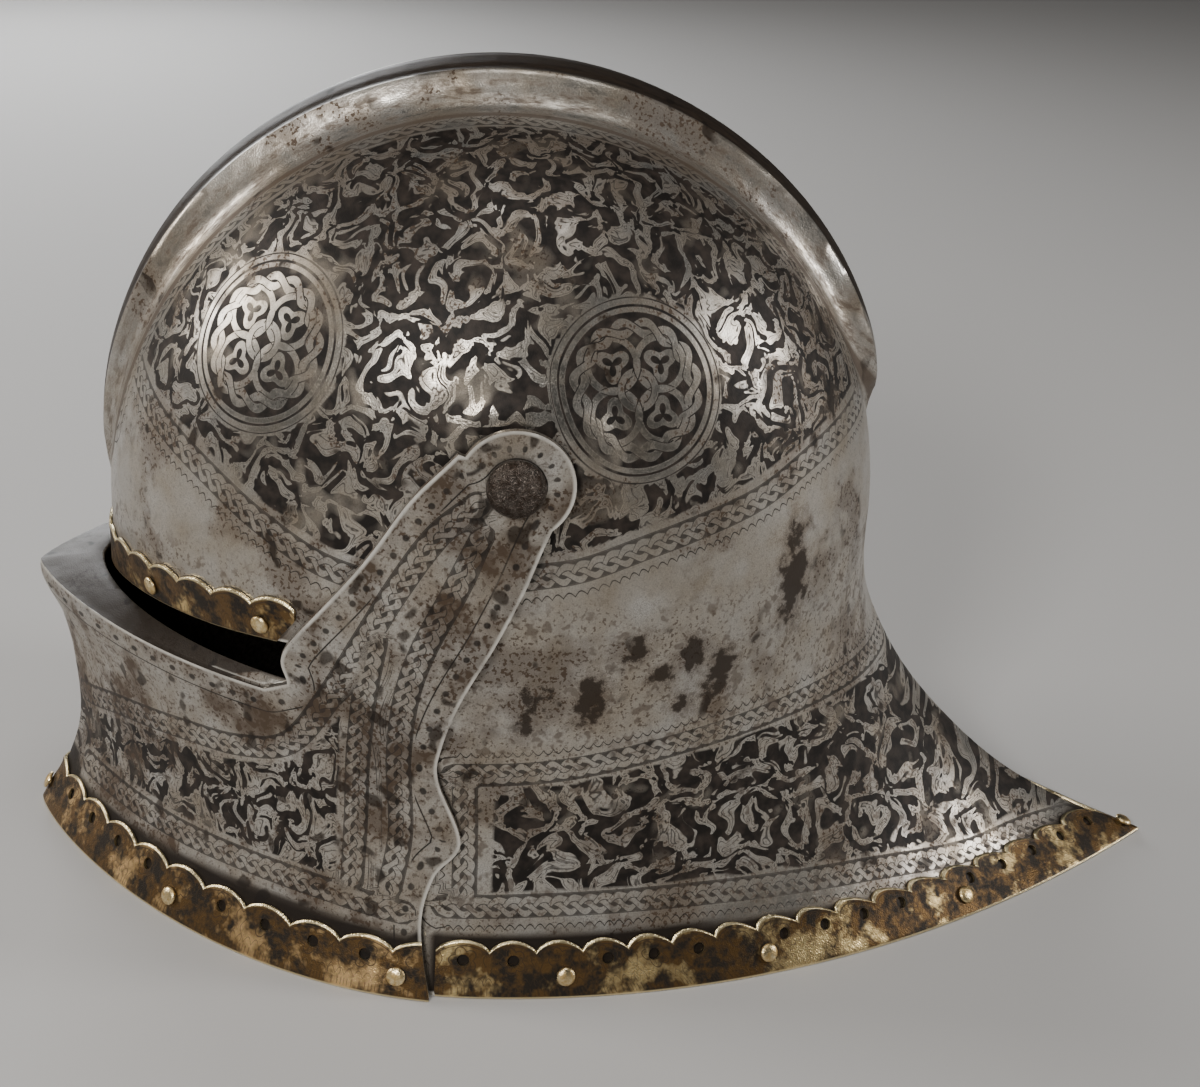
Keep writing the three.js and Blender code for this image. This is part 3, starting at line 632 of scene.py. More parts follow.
print("strips", [len(p.data.polygons) for p in (browPiece, visorBrass, tailBrass)])

pieces = {"skullShell": (skullPiece, "bowl_body", ["skull"])}
pieces["visorShell"] = (visorPiece, "visor_body", ["visor"])
pieces["browBrass"] = (browPiece, "bowl_body", ["brow_edging"])
pieces["visorBrass"] = (visorBrass, "visor_body", ["visor_edging"])
pieces["tailBrass"] = (tailBrass, "bowl_body", ["tail_edging"])
for family, body, spots in (
    ("brow", "bowl_body", browSpots),
    ("visor", "visor_body", visorSpots),
    ("tail", "bowl_body", tailSpots),
):
    for i, spot in enumerate(spots):
        name = f"{family}Rivet{i + 1}"
        pieces[name] = (makeRivet(name, spot), body, [f"{family}_rivet_{i + 1}"])
for word, side in (("left", 1), ("right", -1)):
    name = "pivot" + word.capitalize()
    pieces[name] = (makePivot(name, side), "bowl_body", ["pivot_" + word])
for name, (piece, body, nodes) in pieces.items():
    piece.data.polygons.foreach_set("use_smooth", np.ones(len(piece.data.polygons), bool))
    piece.data.set_sharp_from_angle(angle=math.radians(48))
    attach(piece, body)
    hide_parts(*nodes)
print("pieces", len(pieces))


# Decoration is charted as lines on the left half, in side view (y, z); the right half mirrors it.
def sideX(rows, dome, y, z):
    # How far out the surface is at places seen from the side, by halving steps
    reachY = np.abs(y - shape["centreY"])
    isFront = y < shape["centreY"]
    low, high = np.zeros(len(y)), np.full(len(y), np.pi / 2)
    for _ in range(40):
        b = (low + high) / 2
        tall = np.maximum(1e-9, 1 - np.sin(b) ** shape["fullness"]) ** (1 / shape["fullness"])
        outY = reachY / (dome[1] * np.maximum(np.cos(b), 1e-9))
        outZ = (z - shape["equatorZ"]) / (dome[2] * tall)
        out = outY**2 + outZ**2
        low, high = np.where(out < 1, b, low), np.where(out < 1, high, b)
    onDome = dome[0] * np.sin(low)
    reach = np.where(isFront, column(rows, "front", z), column(rows, "back", z))
    power = 2 * np.where(isFront, column(rows, "frontPower", z), column(rows, "backPower", z))
    sine = np.sqrt(np.maximum(0, 1 - (reachY / reach) ** 2))
    onWall = column(rows, "halfWidth", z) * sine**power
    return np.where(z > shape["equatorZ"], onDome, onWall)


def bandLine(rows, dome, points, count=160):
    line = spline(points, count)
    return np.column_stack([sideX(rows, dome, line[:, 0], line[:, 1]), line])


def combBandLine():
    along = np.linspace(11, 158, 160)
    foot = curve(combRows["angle"], combRows["foot"], along)
    across = np.degrees(np.arcsin((foot + 6.5) / shape["skullDome"][0]))
    return domePoint(shape["skullDome"], True, shape["skullX"], across, along)


# a band whose loops lie on its upper side runs backwards
skullBands = {
    "border": [(-158.5, 172), (-149, 163), (-132, 154), (-114, 144), (-94, 135.5), (-68, 133), (-38.5, 138.5)]
    + [(-23, 141), (-6, 146.5), (12, 151.5), (30, 156.5), (46, 163.5), (60, 168), (67, 170)],
    "tailTop": [(88, 81), (80, 82), (51.8, 82.5), (18.2, 79.5), (-24.4, 73.2), (-56, 71)],
    "tailLow": [(-57, 27.5), (-21.6, 28.5), (22.6, 27.2), (74.7, 21.6), (117.7, 14.6), (143.7, 12.4)]
    + [(168, 9)],
    "tailFront": [(-52.5, 67), (-51.5, 50), (-51, 31)],
}
visorBands = {
    "upper": [(-178, 47), (-162.4, 56), (-140.5, 62.5), (-120.7, 66.5), (-105.5, 73.5), (-94.5, 92)]
    + [(-83.5, 116), (-75, 133.7), (-64.5, 151), (-53.5, 161.5)],
    "lower": [(-176, 24), (-162.7, 25.2), (-140.5, 26.6), (-116.9, 28.2), (-94.7, 28.2), (-69, 26)],
    "column": [(-80.5, 117), (-83, 98), (-84.5, 74), (-84.5, 53), (-85, 33)],
    "rear": [(-51.5, 152), (-58.5, 135), (-66.5, 116), (-71, 98), (-72.5, 76), (-71, 52), (-73.5, 33)],
}


def signedRun(points, normals, line):
    # Distance to a line, positive on its left as seen from outside, and the run along it
    away, run, which = distanceTo(points, line)
    step = unit(line[which + 1] - line[which])
    side = np.einsum("ij,ij->i", np.cross(normals, step), points - line[which])
    return run, away * np.where(side >= 0, 1, -1)


def meshArrays(mesh):
    n = len(mesh.vertices)
    points, normals = np.empty(3 * n, np.float32), np.empty(3 * n, np.float32)
    mesh.vertices.foreach_get("co", points)
    mesh.vertices.foreach_get("normal", normals)
    points, normals = points.reshape(-1, 3) / metres, normals.reshape(-1, 3).astype(float)
    left = np.where(points[:, :1] < 0, -1.0, 1.0) * [1, 0, 0] + [0, 1, 1]
    return points * left, normals * left


def putAttribute(mesh, name, values):
    layer = mesh.attributes.new(name, "FLOAT_VECTOR", "POINT")
    layer.data.foreach_set("vector", np.asarray(values, np.float32).ravel())


def fade(d, width=1.2):
    return np.clip(0.5 + d / width, 0, 1)


def bandField(points, normals, lines, reach):
    # For each point the nearest band's run and signed distance, and a mask that ends at its reach
    best = np.full(len(points), 1e9)
    run, side = np.zeros(len(points)), np.zeros(len(points))
    every = {}
    for name, line in lines.items():
        r, v = signedRun(points, normals, line)
        every[name] = v
        near = np.abs(v) < best
        best = np.where(near, np.abs(v), best)
        run, side = np.where(near, r, run), np.where(near, v, side)
    return np.column_stack([run, side, np.clip((reach - best) / 1.5, 0, 1)]), every


def outsideOf(points, normals):
    return np.einsum("ij,ij->i", normals, (points - [0, shape["centreY"], 60]) * [1, 1, 0.6])


roundels = {"front": (67.5, -115.2, 193.4), "back": (88.1, -9.8, 191.5), "radius": 26.5}


def roundelFrame(centre):
    # A tangent frame at a roundel's middle, from the dome's own gradient there
    w, l, h = shape["skullDome"]
    x, y, z = centre[0], centre[1] - shape["centreY"], centre[2] - shape["equatorZ"]
    n = unit(np.array([x / w**2, y / l**2, z / h**2]))
    side = unit(np.cross([0, 0, 1], n))
    return side, np.cross(n, side)


# how far a band reaches from its line, the gaps from a line to the fields beside it, and the size of the
# fields' charts: millimetres to a radian on the skull and to a degree on the visor
skullChart = {"reach": 11.5, "borderGap": 6.2, "combGap": 5.2, "tailGap": 5.0, "combMargin": 13, "scale": 118}
visorChart = {"reach": 6.5, "gap": 5.5, "fieldEnd": -90, "scale": 2.1}


def chartSkull(mesh):
    points, normals = meshArrays(mesh)
    dome = shape["skullDome"]
    lines = {name: bandLine(skullRows, dome, p) for name, p in skullBands.items()}
    lines["comb"] = combBandLine()
    bands, v = bandField(points, normals, lines, skullChart["reach"])
    outside = outsideOf(points, normals) > 0
    x, y, z = points.T
    turn = np.degrees(np.arctan2((z - shape["equatorZ"]) / dome[2], (shape["centreY"] - y) / dome[1]))
    edge = curve(combRows["angle"], combRows["edge"], np.clip(turn, 0, 166))
    ends = np.interp(turn, [0, 6, 146, 165], [9, 0, 0, 13])
    combShare = np.where((z > 120) & (turn > 0) & (turn < 166), np.abs(x) - edge + ends, 50)
    offComb = fade(combShare - skullChart["combMargin"], 1.5)
    bands[:, 2] *= outside * offComb
    putAttribute(mesh, "bands", bands)
    # the upper field: an equal-distance chart about the side, in millimetres
    d = unit((points - [0, shape["centreY"], shape["equatorZ"]]) / np.array(dome))
    away = np.arccos(np.clip(d[:, 0], -1, 1)) * skullChart["scale"]
    flat = np.maximum(np.hypot(d[:, 1], d[:, 2]), 1e-6)
    p = away[:, None] * d[:, 1:] / flat[:, None]
    upper = offComb * fade(v["border"] - skullChart["borderGap"]) * fade(-v["comb"] - skullChart["combGap"])
    upper = upper * (z > shape["equatorZ"]) * outside
    for centre in (roundels["front"], roundels["back"]):
        upper *= fade(np.linalg.norm(points - centre, axis=1) - roundels["radius"] - 0.5)
    upper *= (np.abs(v["comb"]) > 5) & (x > 20) | (x > 30)
    lower = fade(v["tailTop"] - skullChart["tailGap"]) * fade(v["tailLow"] - skullChart["tailGap"])
    lower = lower * fade(y + 44, 1.5) * (z < 90) * outside
    tailPlace = np.column_stack([y * 0.9 + 300, z + np.clip(y - 40, 0, 200) * 0.35])
    place = np.where((z > 110)[:, None], p, tailPlace)
    putAttribute(mesh, "field", np.column_stack([place, np.maximum(upper, lower)]))
    # distance from the cut edges, the comb's share, and the bare dark strip above the brass; on the visor
    # this attribute also carries painted shade
    away, _, _ = distanceTo(points[:, 1:], np.array(skullCutter()[:72]))
    bare = np.maximum(fade(-v["tailLow"] - 9.2, 2.0), z < 10) * (z < 40)
    putAttribute(mesh, "wear", np.column_stack([away, combShare, bare * (y > -60)]))


def chartVisor(mesh):
    points, normals = meshArrays(mesh)
    dome = shape["visorDome"]
    lines = {name: bandLine(visorRows, dome, p) for name, p in visorBands.items()}
    bands, v = bandField(points, normals, lines, visorChart["reach"])
    outside = (outsideOf(points, normals) > 0) & (normals[:, 2] < 0.8)
    bands[:, 2] *= outside
    putAttribute(mesh, "bands", bands)
    x, y, z = points.T
    field = fade(-v["upper"] - visorChart["gap"]) * fade(v["lower"] - visorChart["gap"]) * (y < -84)
    field = field * fade(visorChart["fieldEnd"] - y, 1.5) * (z < 90) * outside
    run = np.degrees(np.arctan2(x, shape["centreY"] - y)) * visorChart["scale"]
    putAttribute(mesh, "field", np.column_stack([run, z, field]))
    away, along, _ = distanceTo(points[:, 1:], visorOutline()[1:-1])
    bare = np.maximum(fade(-v["lower"] - 7.2, 2.5), z < 10) * (z < 40)
    # painted shade: faces turned up above z 60, the ledge's top in the sight slot under the brow, are painted
    # dark
    dark = np.maximum(bare, 0.85 * (normals[:, 2] > 0.75) * (z > 60))
    putAttribute(mesh, "wear", np.column_stack([np.where(outside, away, 40), along, dark]))


chartSkull(skullPiece.data)
chartVisor(visorPiece.data)
print("charts")


class Term:
    # A value in a node tree, with the arithmetic that formulas need

    def __init__(self, tree, socket):
        self.tree, self.socket = tree, socket

    def math(self, operation, *others, clamp=False):
        node = self.tree.nodes.new("ShaderNodeMath")
        node.operation, node.use_clamp = operation, clamp
        for slot, value in zip(node.inputs, (self,) + others):
            plug(self.tree, slot, value)
        return Term(self.tree, node.outputs[0])

    def __add__(self, o):
        return self.math("ADD", o)

    __radd__ = __add__

    def __sub__(self, o):
        return self.math("SUBTRACT", o)

    def __rsub__(self, o):
        return (self * -1) + o

    def __mul__(self, o):
        return self.math("MULTIPLY", o)

    __rmul__ = __mul__

    def __truediv__(self, o):
        return self.math("DIVIDE", o)

    def sin(self):
        return self.math("SINE")

    def cos(self):
        return self.math("COSINE")

    def abs(self):
        return self.math("ABSOLUTE")

    def max(self, o):
        return self.math("MAXIMUM", o)

    def min(self, o):
        return self.math("MINIMUM", o)

    def below(self, edge, soft):
        # 1 where the value is under the edge, with a soft step
        return ((edge - self) * (1 / soft) + 0.5).math("MINIMUM", 1, clamp=True)

    def above(self, edge, soft):
        return ((self - edge) * (1 / soft) + 0.5).math("MINIMUM", 1, clamp=True)


def plug(tree, slot, value):
    # links a term to a socket, or gives the socket a value of its own
    if isinstance(value, Term):
        tree.links.new(value.socket, slot)
    else:
        slot.default_value = value


def hypot(a, b):
    return (a * a + b * b).math("SQRT")


def newGroup(name, inputs, outputs, kind="NodeSocketFloat"):
    # inputs and outputs are words with spaces between, and kind is what the inputs take
    tree = bpy.data.node_groups.new(name, "ShaderNodeTree")
    for label in inputs.split():
        tree.interface.new_socket(label, in_out="INPUT", socket_type=kind)
    for label in outputs.split():
        tree.interface.new_socket(label, in_out="OUTPUT", socket_type="NodeSocketFloat")
    source, sink = tree.nodes.new("NodeGroupInput"), tree.nodes.new("NodeGroupOutput")
    return tree, [Term(tree, s) for s in source.outputs if s.name], sink


def close(tree, sink, **values):
    for label, term in values.items():
        tree.links.new(term.socket, sink.inputs[label])
    return tree


plaitSize = {"pitch": 14, "swing": 2.2, "strand": 0.8, "gap": 0.3, "edge": 3.75, "edgeLine": 0.16}
roundelSize = {
    "cell": 7.3,
    "ring": 7.4,
    "middle": 5.2,
    "knot": 3.1,
    "lobes": 17.6,
    "strand": 0.98,
    "gap": 0.34,
    "inside": 21.4,
    "rings": (22.7, 25.1),
    "edge": 26.4,
}
scrollSize = {"bend": 13, "cell": 19.0}


def weave(strands, width, gap):
    # Light where a strand lies on top: strands is a list of (distance to its line, its height)
    best = None
    ranks = []
    for distance, height in strands:
        near = distance.below(width + gap, 0.12)
        rank = near * (height * 0.4 + 1)
        ranks.append(rank)
        best = rank if best is None else best.max(rank)
    light = None
    for (distance, height), rank in zip(strands, ranks):
        top = (best - rank).below(0.02, 0.03)
        part = distance.below(width, 0.16) * top * rank.above(0.3, 0.1)
        light = part if light is None else light.max(part)
    return light


def plaitGroup():
    # Interlaced strands along a band, between two edge lines; Light is 1 on bare metal
    tree, (run, side), sink = newGroup("plait", "Run Side", "Light")
    turn = run * (2 * math.pi / plaitSize["pitch"])
    strands = []
    for k in range(3):
        phase = turn + 2 * math.pi * k / 3
        centre = phase.sin() * plaitSize["swing"] + (phase * 2 + 0.8).sin() * 0.45
        strands.append(((side - centre).abs() * 0.8, (phase * 2).sin()))
    light = weave(strands, plaitSize["strand"], plaitSize["gap"])
    edge = (side.abs() - plaitSize["edge"]).abs().below(plaitSize["edgeLine"], 0.16)
    outer = side.abs().above(3.6, 0.2)
    return close(tree, sink, Light=light.max(outer) * (1 - edge))


def roundelGroup():
    # Interlaced rings: four about a middle one, inside a lobed ring and two plain ones; Mask is 1 inside
    tree, (a, b), sink = newGroup("roundel", "A B", "Light Mask")
    r = hypot(a, b)
    turn = b.math("ARCTAN2", a)
    a, b = a.abs(), b.abs()
    cell, ring, lobes = (roundelSize[key] for key in ("cell", "ring", "lobes"))
    strands = []
    circles = ((cell, cell, ring, 0), (-cell, cell, ring, 1.6), (cell, -cell, ring, 3.1))
    for x, y, radius, phase in circles + ((0, 0, roundelSize["middle"], 0.8),):
        dx, dy = a - x, b - y
        strands.append(((hypot(dx, dy) - radius).abs(), (dy.math("ARCTAN2", dx) * 3 + phase).sin()))
    dx, dy = a - cell, b - cell
    knot = dy.math("ARCTAN2", dx)
    petals = roundelSize["knot"] + (knot * 3).sin() * 1.3
    strands.append(((hypot(dx, dy) - petals).abs() * 0.9, (knot * 3 + 1).cos()))
    strands.append(((r - (lobes + (turn * 8).sin() * 1.7)).abs() * 0.8, (turn * 8).cos()))
    strands.append(((r - (lobes - (turn * 8).sin() * 1.7)).abs() * 0.8, (turn * 8).cos() * -1))
    light = weave(strands, roundelSize["strand"], roundelSize["gap"])
    inner = r.below(roundelSize["inside"], 0.2)
    thin, wide = roundelSize["rings"]
    rings = (r - thin).abs().below(0.75, 0.2).max((r - wide).abs().below(0.85, 0.2))
    mask = r.below(roundelSize["edge"], 0.3)
    return close(tree, sink, Light=light * inner + rings * (1 - inner), Mask=mask)


def texture(tree, kind, place, scale, **settings):
    node = tree.nodes.new("ShaderNodeTex" + kind)
    tree.links.new(place.socket, node.inputs["Vector"])
    node.inputs["Scale"].default_value = scale
    for key, value in settings.items():
        if hasattr(node, key):
            setattr(node, key, value)
        else:
            node.inputs[key].default_value = value
    return node


def noise(tree, place, scale, detail, rough, **settings):
    node = texture(tree, "Noise", place, scale, Detail=detail, Roughness=rough, **settings)
    return Term(tree, node.outputs[0])


def combine(tree, x, y, z=0.0):
    node = tree.nodes.new("ShaderNodeCombineXYZ")
    for slot, value in zip(node.inputs, (x, y, z)):
        plug(tree, slot, value)
    return Term(tree, node.outputs[0])


def separate(tree, term):
    node = tree.nodes.new("ShaderNodeSeparateXYZ")
    tree.links.new(term.socket, node.inputs[0])
    return [Term(tree, s) for s in node.outputs]


def scrollGroup():
    # Leafy scrolls and curled beasts: arms that wind about scattered middles, bent by noise, with lines
    # inside
    tree, (x, y), sink = newGroup("scroll", "X Y", "Light")
    place = combine(tree, x, y)
    bend = texture(tree, "Noise", place, 0.075, noise_dimensions="2D", Detail=1.0, Roughness=0.5)
    bx, by, _ = separate(tree, Term(tree, bend.outputs["Color"]))
    x, y = x + (bx - 0.5) * scrollSize["bend"], y + (by - 0.5) * scrollSize["bend"]
    bent = combine(tree, x, y)
    cells = texture(tree, "Voronoi", bent, 1 / scrollSize["cell"], voronoi_dimensions="2D", Randomness=0.8)
    cx, cy, _ = separate(tree, Term(tree, cells.outputs["Position"]))
    hue, other, _ = separate(tree, Term(tree, cells.outputs["Color"]))
    dx, dy = x - cx, y - cy
    r = hypot(dx, dy)
    turn = dy.math("ARCTAN2", dx) * (hue - 0.5).math("SIGN")
    arm = (turn + r * 0.95 + other * 6.3).sin()
    lobes = (turn * 5 + r * 1.6).sin() * (r * 0.05).min(0.4)
    fine = noise(tree, bent, 0.2, 1.0, 0.6, noise_dimensions="2D", Distortion=0.9)
    body = arm * 0.62 + lobes + (fine - 0.5) * 3.6
    light = body.above(0.12, 0.14)
    inside = (body - 0.62).abs().below(0.06, 0.07).max((body - 1.15).abs().below(0.06, 0.07))
    return close(tree, sink, Light=light * (1 - inside * 0.85))


plait, roundel, scroll = plaitGroup(), roundelGroup(), scrollGroup()


def use(tree, group, *terms):
    node = tree.nodes.new("ShaderNodeGroup")
    node.node_tree = group
    for slot, value in zip(node.inputs, terms):
        plug(tree, slot, value)
    return [Term(tree, s) for s in node.outputs]


def stainGroup():
    # Brown stains, black spots and fine pits from object coordinates in millimetres
    tree, (place,), sink = newGroup("stains", "Place", "Stain Spot Pit Grain Haze", "NodeSocketVector")
    stain = noise(tree, place, 0.034, 3, 0.7).above(0.54, 0.12)
    spot = noise(tree, place, 0.12, 1, 0.6).above(0.66, 0.05)
    pit = noise(tree, place, 0.8, 1, 0.7).above(0.6, 0.08)
    grain = noise(tree, place, 2.4, 0, 0.6)
    haze = noise(tree, place, 0.055, 2, 0.7)
    return close(tree, sink, Stain=stain, Spot=spot, Pit=pit, Grain=grain, Haze=haze)


stains = stainGroup()


def attribute(tree, name):
    node = tree.nodes.new("ShaderNodeAttribute")
    node.attribute_name = name
    return Term(tree, node.outputs["Vector"])


def millimetres(tree):
    node = tree.nodes.new("ShaderNodeTexCoord")
    grow = tree.nodes.new("ShaderNodeVectorMath")
    grow.operation = "SCALE"
    grow.inputs["Scale"].default_value = 1000
    tree.links.new(node.outputs["Object"], grow.inputs[0])
    return Term(tree, grow.outputs[0])


def blend(tree, share, a, b):
    # A colour between two: each a tuple or a socket
    node = tree.nodes.new("ShaderNodeMix")
    node.data_type = "RGBA"
    tree.links.new(share.socket, node.inputs[0])
    for slot, value in ((node.inputs[6], a), (node.inputs[7], b)):
        plug(tree, slot, value if isinstance(value, Term) else (*value, 1))
    return Term(tree, node.outputs[2])


def dot(tree, term, axis, origin):
    # How far along an axis a place lies from an origin
    node = tree.nodes.new("ShaderNodeVectorMath")
    node.operation = "DOT_PRODUCT"
    tree.links.new(term.socket, node.inputs[0])
    node.inputs[1].default_value = [float(v) for v in axis]
    return Term(tree, node.outputs["Value"]) - float(np.dot(axis, origin))


def newMaterial(name):
    made = bpy.data.materials.new(name)
    made.use_nodes = True
    return made, made.node_tree, made.node_tree.nodes["Principled BSDF"]


def finishMaterial(tree, shader, colour, metal, rough, height, depth):
    tree.links.new(colour.socket, shader.inputs["Base Color"])
    plug(tree, shader.inputs["Metallic"], metal)
    plug(tree, shader.inputs["Roughness"], rough)
    bump = tree.nodes.new("ShaderNodeBump")
    bump.inputs["Distance"].default_value = depth
    tree.links.new(height.socket, bump.inputs["Height"])
    tree.links.new(bump.outputs[0], shader.inputs["Normal"])


steel = {
    "light": (0.6, 0.58, 0.54),
    "warm": (0.43, 0.37, 0.29),
    # the etched ground, also the near black of the painted shade on the comb's top and the visor's ledge
    "ground": (0.012, 0.0095, 0.008),
    "brownGround": (0.042, 0.032, 0.026),
    # stain brown, also the colour of the painted shade at the top of the bowl
    "stain": (0.06, 0.035, 0.019),
    "black": (0.02, 0.0125, 0.0075),
    # painted highlight along the cut edges
    "rubbed": (0.8, 0.77, 0.7),  # edges
}

# in millimetres: a band's half width, the loops beside it, and the dots and the line along the visor's edge
etching = {
    "bandHalf": 4.6,
    "loopPitch": 3.1,
    "loopAway": 7.6,
    "loopTall": 1.5,
    "dotAway": 5.2,
    "dotPitch": 6.5,
    "lineAway": 8.2,
    "lineHalf": 0.22,
}

# round spots on the plain neck: side view place, radius, and height to width
neckSpots = {
    "y": (-33.5, -35.5, -5.1, 13, 22.5, 22, 12, 3.5, -17, 44),
    "z": (98, 89, 114.6, 110.5, 105, 98, 93, 104, 98, 128),
    "radius": (3.4, 2.8, 3.0, 3.9, 3.4, 3.4, 2.4, 2.0, 4.6, 3.6),
    "tallness": (1.3, 1.2, 1.2, 1.2, 1.3, 1.3, 1.2, 1, 1.5, 3.4),
}


def steelMaterial(name, isSkull, needs):
    made, tree, shader = newMaterial(name)
    place = millimetres(tree)
    x, y, z = separate(tree, place)
    x = x.abs()
    run, side, near = separate(tree, attribute(tree, "bands"))
    fieldX, fieldY, field = separate(tree, attribute(tree, "field"))
    # second is the distance from the comb's edge on the skull, and the run along the edge on the visor
    # strip is the dark strip above the brass, and on the visor also the painted shade on the ledge's top
    away, second, strip = separate(tree, attribute(tree, "wear"))
    stain, spot, pit, grain, haze = use(tree, stains, place)
    # light is 1 on bare metal and 0 where the ground is etched dark
    light = side * 0 + 1
    within = fieldMask = side * 0
    if "field" in needs:
        fieldMask = field.above(0.5, 0.3)
    if "bands" in needs:
        within = near.above(0.5, 0.2) * side.abs().below(etching["bandHalf"], 0.2)
        (knots,) = use(tree, plait, run, side)
        light = 1 - within * (1 - knots) * 0.86
    if "field" in needs:
        (leaves,) = use(tree, scroll, fieldX, fieldY)
        light = light * (1 - fieldMask * (1 - leaves))
    if isSkull and "bands" in needs:
        wave = (run * (math.pi / etching["loopPitch"])).sin().abs() * etching["loopTall"]
        loop = (wave - (side + etching["loopAway"])).abs().below(etching["lineHalf"], 0.2)
        light = light * (1 - loop * near.above(0.5, 0.2) * side.below(-5, 0.1) * (1 - fieldMask))
    if "roundel" in needs:
        frontShare = y.below(-62, 0.5)
        pairs = []
        folded = combine(tree, x, y, z)
        for key in ("front", "back"):
            axes = roundelFrame(roundels[key])
            pairs.append([dot(tree, folded, axis, roundels[key]) for axis in axes])
        (a1, b1), (a2, b2) = pairs
        a = a1 * frontShare + a2 * (1 - frontShare)
        b = b1 * frontShare + b2 * (1 - frontShare)
        disc, mask = use(tree, roundel, a, b)
        light = light * (1 - mask) + disc * mask
    if "edge" in needs:
        pitch = etching["dotPitch"]
        besideDot = (second / pitch).math("FRACT") * pitch - pitch / 2
        dots = hypot(away - etching["dotAway"], besideDot)
        light = light * (1 - dots.below(1.0, 0.4) * 0.9)
        line = (away - etching["lineAway"]).abs().below(etching["lineHalf"], 0.2)
        light = light * (1 - line * (1 - within) * (1 - fieldMask))
    # rubbing has worn the etching thin in places
    light = light.max(haze.above(0.62, 0.1) * 0.45)
    etched = 1 - light
    colour = blend(tree, haze.above(0.5, 0.5), steel["light"], steel["warm"])
    grey = (grain * 0.5 + 0.62).min(1.0)
    shade = tree.nodes.new("ShaderNodeMix")
    shade.data_type, shade.blend_type = "RGBA", "MULTIPLY"
    shade.inputs[0].default_value = 1
    tree.links.new(colour.socket, shade.inputs[6])
    tree.links.new(grey.socket, shade.inputs[7])
    colour = Term(tree, shade.outputs[2])
    blots = noise(tree, place, 0.2, 2, 0.62)
    brown = (stain * 0.62 + pit * 0.7 * stain.max(0.3)).min(1.0)
    if not isSkull:
        brown = (brown + haze.above(0.5, 0.25) * 0.3 + pit * 0.25 + blots.above(0.6, 0.1) * 0.35).min(1.0)
    if isSkull:
        lower = z.below(130, 10) * x.above(20, 6)
        brown = brown.max(lower * pit * haze.above(0.4, 0.3) * 0.85).max(lower * blots.above(0.6, 0.08) * 0.7)
        # painted shade: the top of the bowl beside the comb is darkened in patches towards the stain colour
        brown = brown.max(z.above(220, 40) * haze.above(0.4, 0.25) * 0.7 * second.above(8, 3))
        if "comb" in needs:
            along = (z - shape["equatorZ"]).math("ARCTAN2", y - shape["centreY"]) * 130
            stretched = combine(tree, along * 0.2, second, 0)
            streak = noise(tree, stretched, 0.55, 3, 0.75, noise_dimensions="2D").above(0.52, 0.3)
            # the comb's top is painted near black with streaks: partly dark staining, partly painted shade
            # for the dark reflection on its top; the flanks get brown streaks and the groove at the foot is
            # darkened
            combTop = second.below(-1.2, 1.2)
            strip = strip.max(combTop * (streak * 0.25 + 0.72))
            flank = (second - 6.5).abs().below(6.5, 3)
            foot = (second - 11.5).abs().below(2.0, 1.4)
            brown = brown.max(combTop).max(flank * streak * 0.85).max(foot * 0.9)
        brow = z.below(118, 12) * y.below(-95, 6) * haze.above(0.4, 0.2)
        brown = brown.max(brow * 0.75)
        black = spot * stain
        for sy, sz, r, tall in zip(*neckSpots.values()) if "spots" in needs else ():
            wobble = (grain - 0.5) * 1.6 + (blots - 0.5) * 13
            rise = (z - sz) * (1 / tall)
            d = hypot(y - sy, rise) + wobble
            black = black.max(d.below(r, 1.3) * x.above(30, 2) * 0.92)
            brown = brown.max(d.below(r + 2, 4) * x.above(30, 2) * 0.75)
    else:
        black = spot * 0.9
    brown = brown.max(strip)
    # brown takes the stain colour: real stains and spots, and painted shade at the bowl's top and on the
    # comb's top
    colour = blend(tree, brown * 0.93, colour, steel["stain"])
    colour = blend(tree, black * 0.92, colour, steel["black"])
    # the strip goes to the etched ground's near black: the dark strip above the brass, and painted shade on
    # the comb's top and the ledge's top
    colour = blend(tree, strip * 0.9, colour, steel["ground"])
    ground = blend(tree, blots.above(0.55, 0.3), steel["ground"], steel["brownGround"])
    colour = blend(tree, etched, colour, ground)
    # painted highlight: near white along the cut edges, in patches
    bright = away.below(0.9, 0.7) * haze.above(0.35, 0.3)
    colour = blend(tree, bright * 0.8, colour, steel["rubbed"])
    dark = etched.max(brown * 0.8).max(black)
    metal = 1 - dark * 0.85
    rough = 0.2 + haze * 0.16 + dark * 0.24 + grain * 0.06
    shader.inputs["Specular IOR Level"].default_value = 0.22
    finishMaterial(tree, shader, colour, metal, rough, grain * 0.2 + haze * 2.4, 0.00022)
    return made


brass = {
    "gold": (0.78, 0.56, 0.24),
    # pale gold of the painted highlight along the strips' edges
    "pale": (0.9, 0.76, 0.46),
    "brown": (0.13, 0.075, 0.028),
    "black": (0.018, 0.013, 0.008),
    "line": (0.05, 0.03, 0.015),
}


# the engraving, in millimetres from the lower edge, from the upper one (arc) or from the hole (petals, ribs)
engraving = {"petals": 2.9, "petalTall": 1.5, "ribs": 3.6, "arc": 1.7, "zigzag": 4.2, "hatch": (1.0, 3.4)}


